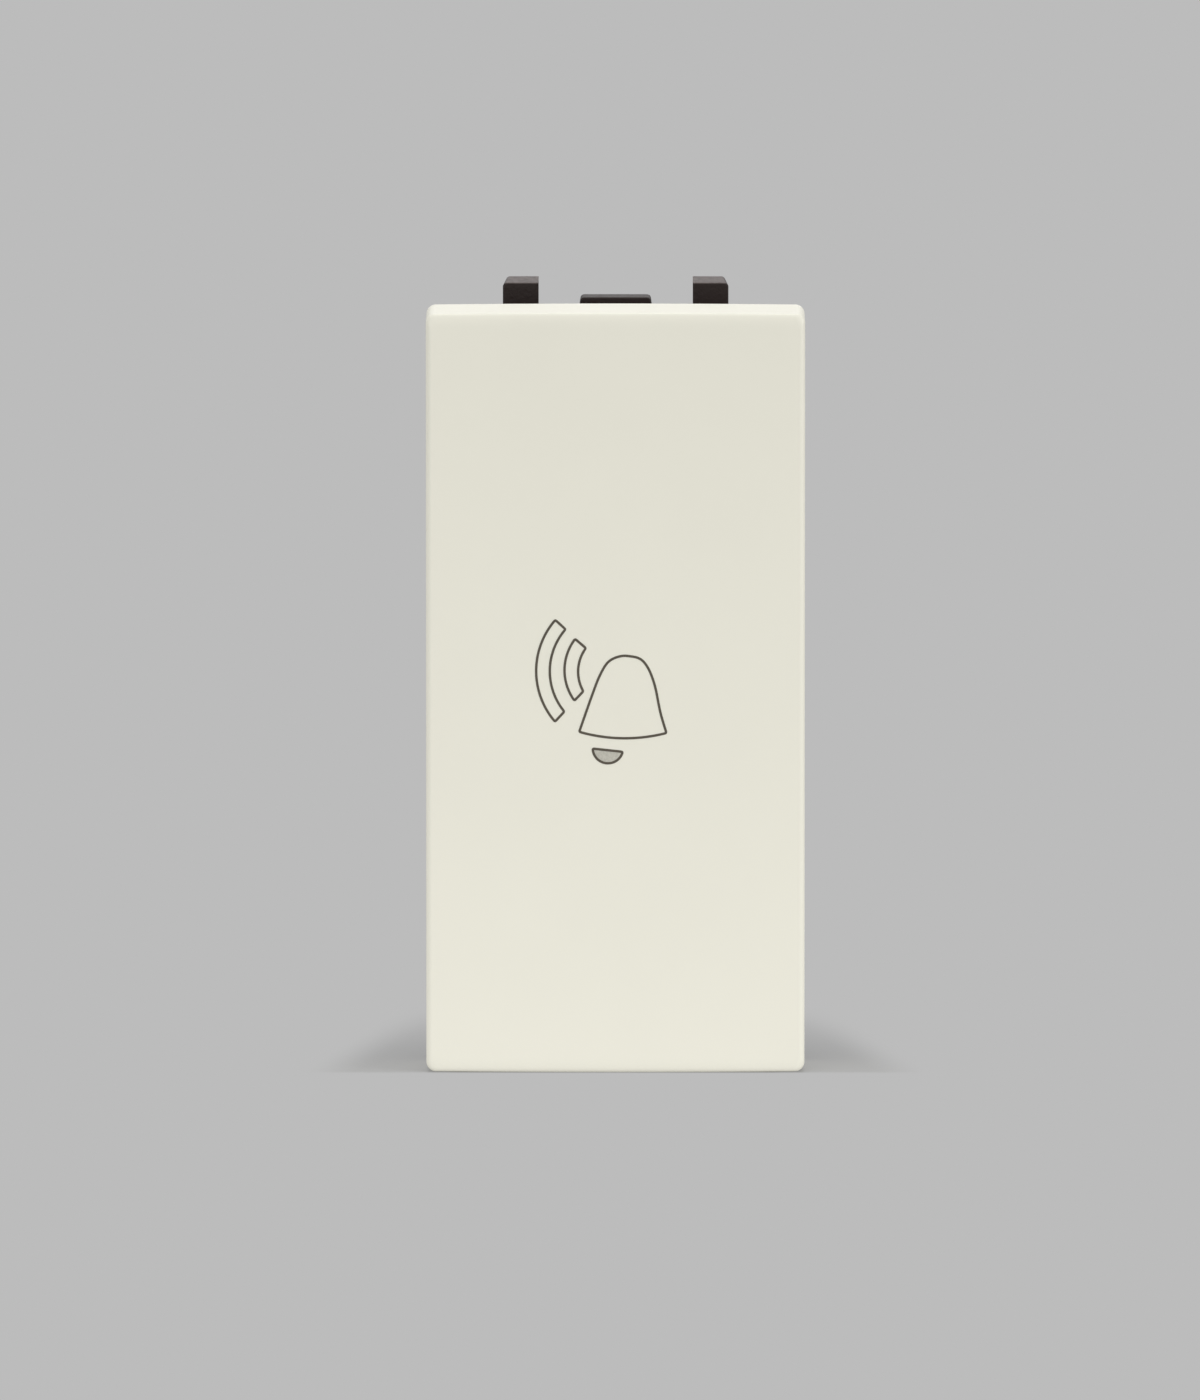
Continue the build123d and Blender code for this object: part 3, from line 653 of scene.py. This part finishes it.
def new_material(name):
    """An empty material, its node tree and its shader."""
    material = bpy.data.materials.new(name)
    material.use_nodes = True
    tree = material.node_tree
    tree.nodes.clear()
    output = tree.nodes.new("ShaderNodeOutputMaterial")
    shader = tree.nodes.new("ShaderNodeBsdfPrincipled")
    tree.links.new(shader.outputs["BSDF"], output.inputs["Surface"])
    return material, tree, shader


def node_of(tree, kind):
    """The tree's one node of that kind."""
    return next(node for node in tree.nodes if node.bl_idname == kind)


def place(tree, stretch=(1, 1, 1)):
    """Object coordinates, stretched."""
    coordinates = tree.nodes.new("ShaderNodeTexCoord")
    mapping = tree.nodes.new("ShaderNodeMapping")
    mapping.inputs["Scale"].default_value = stretch
    tree.links.new(coordinates.outputs["Object"], mapping.inputs["Vector"])
    return mapping.outputs["Vector"]


def place_parts(tree):
    """X, Y and Z of the object coordinates."""
    split = tree.nodes.new("ShaderNodeSeparateXYZ")
    tree.links.new(place(tree), split.inputs["Vector"])
    return split.outputs["X"], split.outputs["Y"], split.outputs["Z"]


def noise(tree, where, grain, detail=3.0, roughness=0.5):
    """Noise whose grains are about that large."""
    node = tree.nodes.new("ShaderNodeTexNoise")
    node.inputs["Scale"].default_value = 1 / grain
    node.inputs["Detail"].default_value = detail
    node.inputs["Roughness"].default_value = roughness
    tree.links.new(where, node.inputs["Vector"])
    return node.outputs["Fac"]


def levels(tree, value, low, high, start=NOISE_LOW, end=NOISE_HIGH, course="LINEAR"):
    """A value spread from its start and end to a low and a high."""
    node = tree.nodes.new("ShaderNodeMapRange")
    node.interpolation_type = course
    for name, number in (("From Min", start), ("From Max", end), ("To Min", low), ("To Max", high)):
        node.inputs[name].default_value = number
    tree.links.new(value, node.inputs["Value"])
    return node.outputs["Result"]


def combined(tree, operation, *values):
    """The operation on one value, or on several, two at a time from the left."""
    if len(values) > 2:
        values = (combined(tree, operation, *values[:-1]), values[-1])
    node = tree.nodes.new("ShaderNodeMath")
    node.operation = operation
    for socket, value in zip(node.inputs, values):
        tree.links.new(value, socket)
    return node.outputs["Value"]


def between(tree, value, dark, light):
    """A colour between two, by the value of a noise."""
    node = tree.nodes.new("ShaderNodeValToRGB")
    for element, position, tone in zip(node.color_ramp.elements, (NOISE_LOW, NOISE_HIGH), (dark, light)):
        element.position = position
        element.color = (*tone, 1.0)
    tree.links.new(value, node.inputs["Fac"])
    return node.outputs["Color"]


def relief(tree, shader, height, depth):
    """Fine relief of that depth on the shader's normal."""
    node = tree.nodes.new("ShaderNodeBump")
    node.inputs["Distance"].default_value = depth
    tree.links.new(height, node.inputs["Height"])
    tree.links.new(node.outputs["Normal"], shader.inputs["Normal"])


def shade(tone, factor):
    """A colour made lighter or darker."""
    return tuple(min(1.0, part * factor) for part in tone)


def moulded_plastic(name, tone, gloss, grain, depth, spread, level=0.5):
    """Injection-moulded plastic: a faint cloudiness, uneven gloss and the tool's fine grain.

    The colour strays from its tone by the spread, and the roughness from the gloss by 0.05.
    """
    material, tree, shader = new_material(name)
    where = place(tree)
    cloud = noise(tree, where, grain=6 * MM)
    fine = noise(tree, where, grain, detail=2.0, roughness=0.6)
    clouded = between(tree, cloud, shade(tone, 1 - spread), shade(tone, 1 + spread))
    tree.links.new(clouded, shader.inputs["Base Color"])
    tree.links.new(levels(tree, fine, gloss - 0.05, gloss + 0.05), shader.inputs["Roughness"])
    shader.inputs["Specular IOR Level"].default_value = level
    relief(tree, shader, fine, depth)
    return material


def plated_metal(name, tone, gloss, grain, depth, stretch=(1, 1, 1), spread=0.08):
    """Metal with drawn or rolled lines along one direction and a faint uneven tarnish.

    The colour strays down by the spread and up by half of it, and the roughness by 0.07.
    """
    material, tree, shader = new_material(name)
    streaks = noise(tree, place(tree, stretch), grain, roughness=0.6)
    cloud = noise(tree, place(tree), grain=1.5 * MM)
    clouded = between(tree, cloud, shade(tone, 1 - spread), shade(tone, 1 + spread / 2))
    tree.links.new(clouded, shader.inputs["Base Color"])
    shader.inputs["Metallic"].default_value = 1.0
    tree.links.new(levels(tree, streaks, gloss - 0.07, gloss + 0.07), shader.inputs["Roughness"])
    relief(tree, shader, streaks, depth)
    return material


def overlaid(material, tone, share):
    """Lay another tone over a finish's own colour, by a share."""
    tree = material.node_tree
    shader = node_of(tree, "ShaderNodeBsdfPrincipled")
    mix = tree.nodes.new("ShaderNodeMixRGB")
    mix.inputs["Color2"].default_value = (*tone, 1.0)
    tree.links.new(share, mix.inputs["Fac"])
    tree.links.new(shader.inputs["Base Color"].links[0].from_socket, mix.inputs["Color1"])
    tree.links.new(mix.outputs["Color"], shader.inputs["Base Color"])


def painted_slot_shade(material, tone, middle, half_width, floor, top):
    """Paint shade into a screw's finish: a darker tone inside its slot, which runs along X at the height of
    middle.

    The tone is full in the slot's lower half and fades out towards the head's top, along Y. It stops
    within an eighth of the half width beside the slot, and within a quarter of it under the slot's floor.
    """
    tree = material.node_tree
    _, along, upward = place_parts(tree)
    edge = half_width / 8
    below = levels(tree, upward, 0.0, 1.0, middle - half_width - edge, middle - half_width)
    above = levels(tree, upward, 1.0, 0.0, middle + half_width, middle + half_width + edge)
    shank = levels(tree, along, 0.0, 1.0, floor - 2 * edge, floor - edge)
    deep = levels(tree, along, 1.0, 0.0, (floor + top) / 2, top)
    overlaid(material, tone, combined(tree, "MULTIPLY", below, above, shank, deep))


def worn_and_lit_crests(material, tone, lowest, highest, depth, patch):
    """Give a moulding patches of a lighter tone on its lowest and highest faces, fading over the depth. They
    are partly real scuffing and partly a painted highlight on the top faces.

    Between the patches 0.35 of the tone stays.
    """
    tree = material.node_tree
    _, _, upward = place_parts(tree)
    top = levels(tree, upward, 0.0, 1.0, highest - depth, highest)
    bottom = levels(tree, upward, 1.0, 0.0, lowest, lowest + depth)
    patches = levels(tree, noise(tree, place(tree), patch), low=0.35, high=1.0)
    overlaid(material, tone, combined(tree, "MULTIPLY", combined(tree, "MAXIMUM", top, bottom), patches))


def printed_ink(name, tone):
    """Pad-printed ink: matt, slightly uneven in cover."""
    material, tree, shader = new_material(name)
    patches = noise(tree, place(tree), grain=0.12 * MM)
    cover = between(tree, patches, shade(tone, 0.9), shade(tone, 1.15))
    tree.links.new(cover, shader.inputs["Base Color"])
    tree.links.new(levels(tree, patches, low=0.5, high=0.7), shader.inputs["Roughness"])
    relief(tree, shader, patches, depth=0.003 * MM)
    return material


class BELLPUSH_OT_key(bpy.types.Operator):
    """Build the key with its clips and give it its cream finish"""

    bl_idname = "bellpush.key"
    bl_label = "Key"

    def execute(self, context):
        sizes = context.scene.bell_push_key
        low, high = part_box("rocker_cap")
        ceiling = low.y + sizes.front_wall
        shells = [key_shell(sizes, low, high)]
        for side in (-1, 1):
            for end in (-1, 1):
                shells += key_clip(sizes, side, end, ceiling)
        key = new_piece("key_cap", joined(shells))
        tone = context.scene.bell_push_finish.cream
        material = moulded_plastic(
            "Cream plastic", tone, gloss=0.42, grain=0.25 * MM, depth=0.0008 * MM, spread=0.006, level=0.55
        )
        finished(key, material, "cap", "rocker", "rocker_cap")
        return {"FINISHED"}


class BELLPUSH_OT_print(bpy.types.Operator):
    """Print the bell, its clapper and its sound waves on the key"""

    bl_idname = "bellpush.print"
    bl_label = "Printed bell"

    def execute(self, context):
        sizes = context.scene.bell_push_print
        finish = context.scene.bell_push_finish
        low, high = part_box("rocker_cap")
        face, middle = low.y, (low.z + high.z) / 2 + sizes.rise
        lines = printed_ink("Line ink", finish.ink)
        fill = printed_ink("Clapper ink", finish.clapper)
        paths = {
            "print_wave_outer": wave_path(OUTER_WAVE),
            "print_wave_inner": wave_path(INNER_WAVE),
            "print_bell": bell_path(),
            "print_clapper": clapper_path(),
        }
        for name, path in paths.items():
            loop = inked(sizes, path, middle)
            piece = new_piece(name, ribbon(loop, sizes.line, face - sizes.height, face + sizes.bite))
            finished(piece, lines, "cap", "rocker")
        loop = inked(sizes, clapper_path(), middle)
        piece = new_piece("print_clapper_fill", plate(loop, face - sizes.fill_height, face + sizes.bite))
        finished(piece, fill, "cap", "rocker")
        return {"FINISHED"}


class BELLPUSH_OT_springs(bpy.types.Operator):
    """Wind the return spring and the contact spring in their rest shape"""

    bl_idname = "bellpush.springs"
    bl_label = "Springs"

    def execute(self, context):
        sizes = context.scene.bell_push_metal
        tone = context.scene.bell_push_finish.steel
        steel = plated_metal("Spring steel", tone, gloss=0.28, grain=0.08 * MM, depth=0.0006 * MM)
        ranges = {joint["name"]: joint["range_m"][1] for joint in frame["joints"] if "range_m" in joint}
        pushed, bridged = ranges["pusher_slide"], ranges["bridge_slide"]
        springs = (
            ("return_spring", "housing", sizes.return_wire, sizes.return_turns, "rear", pushed),
            ("contact_spring", "pusher", sizes.contact_wire, sizes.contact_turns, "front", pushed - bridged),
        )
        for node, body, wire, turns, fixed_end, loss in springs:
            low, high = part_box(node)
            spring = new_piece(node + "_coil", coil(low, high, wire, turns), sharp_angle=60.0)
            finished(spring, steel, "spring", body, node)
            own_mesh(spring)
        return {"FINISHED"}


class BELLPUSH_OT_screws(bpy.types.Operator):
    """Cut the two terminal screws with their threads and slots"""

    bl_idname = "bellpush.screws"
    bl_label = "Terminal screws"

    def execute(self, context):
        sizes = context.scene.bell_push_metal
        finish = context.scene.bell_push_finish
        zinc = plated_metal("Screw zinc", finish.zinc, gloss=0.36, grain=0.4 * MM, depth=0.0004 * MM)
        low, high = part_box("screw_left")
        middle, floor = (low.z + high.z) / 2, high.y - sizes.slot_depth
        # Painted shade in the screws' slots
        painted_slot_shade(zinc, shade(finish.zinc, finish.slot_shade_share), middle, sizes.slot / 2, floor, high.y)
        for side in SIDES:
            node = f"screw_{side}"
            piece = new_piece(f"slotted_{node}", terminal_screw(sizes, node))
            finished(piece, zinc, "screw", node, node)
        return {"FINISHED"}


class BELLPUSH_OT_finishes(bpy.types.Operator):
    """Give every remaining moulding and metal part its finish"""

    bl_idname = "bellpush.finishes"
    bl_label = "Finishes"

    def execute(self, context):
        finish = context.scene.bell_push_finish
        moulded = {"gloss": 0.52, "grain": 0.22 * MM, "depth": 0.025 * MM, "spread": 0.12}
        dark = moulded_plastic("Dark body plastic", finish.dark, **moulded)
        worn = moulded_plastic("Worn and lit body plastic", finish.dark, **moulded)
        low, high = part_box("front_frame")
        # Scuffed patches on the lugs' crests, lightened further as a painted highlight on their tops
        worn_and_lit_crests(worn, finish.scuffed, low.z, high.z, finish.wear_depth, finish.wear_patch)
        carrier = moulded_plastic(
            "Dark carrier plastic", finish.dark, gloss=0.35, grain=0.2 * MM, depth=0.002 * MM, spread=0.1
        )
        cover = moulded_plastic(
            "Cover plastic", finish.cover, gloss=0.5, grain=0.15 * MM, depth=0.003 * MM, spread=0.06
        )
        acetal = moulded_plastic(
            "Plunger acetal", finish.acetal, gloss=0.32, grain=0.3 * MM, depth=0.001 * MM, spread=0.02
        )
        rolled = {"grain": 0.25 * MM, "depth": 0.0015 * MM}
        brass = plated_metal(
            "Rolled brass", finish.brass, gloss=0.3, stretch=(6, 6, 0.4), spread=0.12, **rolled
        )
        silver = plated_metal("Contact silver", finish.silver, gloss=0.25, grain=0.15 * MM, depth=0.001 * MM)
        zinc = plated_metal("Cage zinc", finish.zinc, gloss=0.34, stretch=(5, 5, 0.6), **rolled)
        materials = {
            "front_frame": worn,
            "rear_base": dark,
            "rocker_carrier": carrier,
            "chamber_cover": cover,
            "plunger": acetal,
            "contact_bridge": brass,
        }
        for side in SIDES:
            materials[f"strip_{side}"] = brass
            materials[f"bridge_tip_{side}"] = silver
            materials[f"fixed_tip_{side}"] = silver
            materials[f"cage_{side}"] = zinc
        for node, material in materials.items():
            for slot in frame["nodes"][node].material_slots:
                slot.material = material
        return {"FINISHED"}


def from_angles(azimuth, elevation, distance):
    """A point that far off, turned by the azimuth to the right of the front and by the elevation upward."""
    level = distance * math.cos(elevation)
    return Vector((level * math.sin(azimuth), -level * math.cos(azimuth), distance * math.sin(elevation)))


Lamp = namedtuple("Lamp", "name level azimuth elevation size distance", defaults=[2.0])


def lamps(stage):
    """The soft lamps, with sizes and distances in metres. A lamp stands 2 metres off unless it says more."""
    return (
        Lamp("Top lamp", stage.top_light, 0.0, stage.top_elevation, size=2.0, distance=3.0),
        Lamp("Side lamp", stage.side_light, stage.side_azimuth, stage.side_elevation, size=0.8),
        Lamp("Front lamp", stage.front_light, stage.front_azimuth, stage.front_elevation, size=1.2),
        Lamp("Rear lamp", stage.rear_light, math.pi, stage.rear_elevation, size=0.8),
    )


def area_light(name, power, width, depth):
    """A rectangular lamp of that power, facing down."""
    light = bpy.data.lights.new(name, "AREA")
    light.energy = power
    light.shape = "RECTANGLE"
    light.size, light.size_y = width, depth
    item = bpy.data.objects.new(name, light)
    bpy.context.scene.collection.objects.link(item)
    return item


def soft_lamp(lamp):
    """A square lamp that faces the origin.

    Its power is level x pi^2 x distance^2, so that a white face turned to it shines at that level.
    """
    item = area_light(lamp.name, lamp.level * (math.pi * lamp.distance) ** 2, lamp.size, lamp.size)
    item.location = from_angles(lamp.azimuth, lamp.elevation, lamp.distance)
    item.rotation_mode = "QUATERNION"
    item.rotation_quaternion = (-item.location).to_track_quat("-Z", "Y")


def bounce_card(stage):
    """A card that lies on the floor before the key and shines upward.

    Its power is level x pi x width x depth.
    """
    width, depth = stage.card_width, stage.card_depth
    item = area_light("Card lamp", stage.card_light * math.pi * width * depth, width, depth)
    item.location = (0, cad_low.y - stage.card_gap - depth / 2, cad_low.z + stage.card_height)
    item.rotation_euler = (math.pi, 0, 0)


def background_rays(tree):
    """1 for the rays that show the background: the camera's and those that gloss and glass send on."""
    rays = tree.nodes.new("ShaderNodeLightPath").outputs
    shown = (rays[f"Is {kind} Ray"] for kind in ("Camera", "Glossy", "Transmission"))
    return combined(tree, "MAXIMUM", *shown)


def glow(tree, tone, strength, kind="Emission"):
    """An even glow of that tone: an Emission for a surface or a Background for the world."""
    node = tree.nodes.new(f"ShaderNode{kind}")
    node.inputs["Color"].default_value = (*tone, 1.0)
    node.inputs["Strength"].default_value = strength
    return node.outputs[kind]


def mixed(tree, share, first, second):
    """Two shaders mixed: none of the second where the share is 0."""
    node = tree.nodes.new("ShaderNodeMixShader")
    tree.links.new(share, node.inputs["Fac"])
    tree.links.new(first, node.inputs[1])
    tree.links.new(second, node.inputs[2])
    return node.outputs["Shader"]


class BELLPUSH_OT_stage(bpy.types.Operator):
    """Set up the floor, the light and the camera"""

    bl_idname = "bellpush.stage"
    bl_label = "Stage"

    def execute(self, context):
        stage = context.scene.bell_push_stage
        self.floor(stage)
        self.sky(context.scene, stage)
        for lamp in lamps(stage):
            soft_lamp(lamp)
        bounce_card(stage)
        self.camera(context.scene, stage)
        return {"FINISHED"}

    def floor(self, stage):
        """A wide level floor under the push, in square cells."""
        cells = 8
        steps = np.linspace(-stage.floor_reach, stage.floor_reach, cells + 1)
        x, y = np.meshgrid(steps, steps)
        points = np.column_stack([x.ravel(), y.ravel(), np.full(x.size, cad_low.z - stage.floor_gap)])
        i, j = np.indices((cells, cells)).reshape(2, -1)
        corner = i * (cells + 1) + j
        quads = np.stack([corner, corner + 1, corner + cells + 2, corner + cells + 1], 1)
        mesh = bpy.data.meshes.new("floor")
        mesh.from_pydata(points.tolist(), [], quads.tolist())
        piece = bpy.data.objects.new("floor", mesh)
        bpy.context.scene.collection.objects.link(piece)
        piece.data.materials.append(self.floor_material(stage))

    def floor_material(self, stage):
        """Paper of one even grey with a soft shadow near the push, and an even glow for all other rays.

        The light that falls on an open floor is the sky's and the upward share of the lamps', so the
        paper's tone is the backdrop's over that sum. From below the paper is clear.
        """
        material, tree, paper = new_material("Floor")
        fallen = stage.sky + sum(lamp.level * math.sin(lamp.elevation) for lamp in lamps(stage))
        paper.inputs["Base Color"].default_value = (*(tone / fallen for tone in stage.backdrop), 1.0)
        paper.inputs["Roughness"].default_value = 1.0
        paper.inputs["Specular IOR Level"].default_value = 0.0
        flat = glow(tree, stage.backdrop, 1.0)
        thrown = glow(tree, (1.0, 1.0, 1.0), stage.bounce)
        clear = tree.nodes.new("ShaderNodeBsdfTransparent")
        geometry = tree.nodes.new("ShaderNodeNewGeometry")
        seen = mixed(tree, self.shadow_share(tree, stage), flat, paper.outputs["BSDF"])
        above = mixed(tree, background_rays(tree), thrown, seen)
        whole = mixed(tree, geometry.outputs["Backfacing"], above, clear.outputs["BSDF"])
        tree.links.new(whole, node_of(tree, "ShaderNodeOutputMaterial").inputs["Surface"])
        return material

    def shadow_share(self, tree, stage):
        """How much of the paper's own shading shows: 1 under the push and 0 where the floor is even.

        Beside the push the share is a smooth fall of beside + back, where beside is the distance from its
        side over the shadow's width, and back that from the key's face over the shadow's depth. It weakens
        evenly with back. Underneath, the share ends at the push's sides and fades out behind its rear.
        """
        sideways, along, _ = place_parts(tree)
        across = combined(tree, "ABSOLUTE", sideways)
        side, front, rear = cad_high.x, cad_low.y, cad_high.y
        depth, near, far = stage.shadow_depth, stage.shadow_fade, stage.shadow_end
        beside = levels(tree, across, 0.0, 2.0, side, side + 2 * stage.shadow_side)
        back = levels(tree, along, 0.0, 1.0, front, front + depth)
        fall = levels(tree, combined(tree, "ADD", beside, back), 1.0, 0.0, near, far, "SMOOTHSTEP")
        fade = levels(tree, back, stage.shadow_strength, 0.0, 0.0, stage.shadow_back)
        outside = combined(tree, "MULTIPLY", fall, fade)
        inner, outer = side - stage.under_inside, side + stage.under_outside
        narrow = levels(tree, across, 1.0, 0.0, inner, outer, "SMOOTHSTEP")
        behind = levels(tree, along, 1.0, 0.0, rear, rear + depth, "SMOOTHSTEP")
        under = combined(tree, "MULTIPLY", narrow, behind)
        start = front - stage.shadow_edge / 3
        edge = levels(tree, along, 0.0, 1.0, start, start + stage.shadow_edge, "SMOOTHSTEP")
        return combined(tree, "MULTIPLY", combined(tree, "MAXIMUM", outside, under), edge)

    def sky(self, scene, stage):
        """Level light from all round, with the backdrop's grey where the camera or a reflection sees it."""
        world = bpy.data.worlds.new("Sky")
        world.use_nodes = True
        tree = world.node_tree
        tree.nodes.clear()
        output = tree.nodes.new("ShaderNodeOutputWorld")
        light = glow(tree, (1.0, 1.0, 1.0), stage.sky, "Background")
        seen = glow(tree, stage.backdrop, 1.0, "Background")
        tree.links.new(mixed(tree, background_rays(tree), light, seen), output.inputs["Surface"])
        scene.world = world
        scene.view_settings.view_transform = "Standard"

    def camera(self, scene, stage):
        """A long lens that sees the key as the photograph does.

        The sensor's width spans the picture's longer side. The camera looks past the key's middle by as
        many pixels as the photograph shows it off the picture's middle.
        """
        low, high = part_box("rocker_cap")
        face = Vector((0, low.y, (low.z + high.z) / 2))
        data = bpy.data.cameras.new("Camera")
        camera = bpy.data.objects.new("Camera", data)
        scene.collection.objects.link(camera)
        back = from_angles(stage.azimuth, stage.elevation, 1.0)
        right = Vector((math.cos(stage.azimuth), math.sin(stage.azimuth), 0))
        up = back.cross(right)
        pixel = MM / stage.pixels_per_mm
        target = face - right * stage.right * pixel - up * stage.up * pixel
        camera.location = target + back * stage.distance
        camera.rotation_mode = "QUATERNION"
        camera.rotation_quaternion = (-back).to_track_quat("-Z", "Y")
        longer = max(PIXELS_WIDE, PIXELS_HIGH) * pixel
        data.lens = data.sensor_width * stage.distance / longer
        data.clip_start = 0.01
        scene.camera = camera


class BELLPUSH_PT_panel(bpy.types.Panel):
    """Lists the pieces of the bell push"""

    bl_idname = "BELLPUSH_PT_panel"
    bl_label = "Bell Push"
    bl_space_type = "VIEW_3D"
    bl_region_type = "UI"
    bl_category = "Bell Push"

    def draw(self, context):
        layout = self.layout
        for operator, group in STEPS:
            layout.operator(operator.bl_idname)
            if group:
                settings = getattr(context.scene, group)
                for name in settings.bl_rna.properties.keys():
                    if name not in ("rna_type", "name"):
                        layout.prop(settings, name)


GROUPS = {
    "bell_push_key": BellPushKey,
    "bell_push_print": BellPushPrint,
    "bell_push_metal": BellPushMetal,
    "bell_push_finish": BellPushFinish,
    "bell_push_stage": BellPushStage,
}
STEPS = (
    (BELLPUSH_OT_key, "bell_push_key"),
    (BELLPUSH_OT_print, "bell_push_print"),
    (BELLPUSH_OT_springs, "bell_push_metal"),
    (BELLPUSH_OT_screws, None),
    (BELLPUSH_OT_finishes, "bell_push_finish"),
    (BELLPUSH_OT_stage, "bell_push_stage"),
)


def register():
    """Make the settings, the steps and the panel known to Blender."""
    for name, group in GROUPS.items():
        bpy.utils.register_class(group)
        setattr(bpy.types.Scene, name, PointerProperty(type=group))
    for operator, _ in STEPS:
        bpy.utils.register_class(operator)
    bpy.utils.register_class(BELLPUSH_PT_panel)


def unregister():
    """Take them out again."""
    bpy.utils.unregister_class(BELLPUSH_PT_panel)
    for operator, _ in reversed(STEPS):
        bpy.utils.unregister_class(operator)
    for name, group in reversed(GROUPS.items()):
        delattr(bpy.types.Scene, name)
        bpy.utils.unregister_class(group)


def main():
    """Build every piece in turn."""
    register()
    for operator, _ in STEPS:
        module, name = operator.bl_idname.split(".")
        getattr(getattr(bpy.ops, module), name)()


if __name__ == "__main__":
    main()
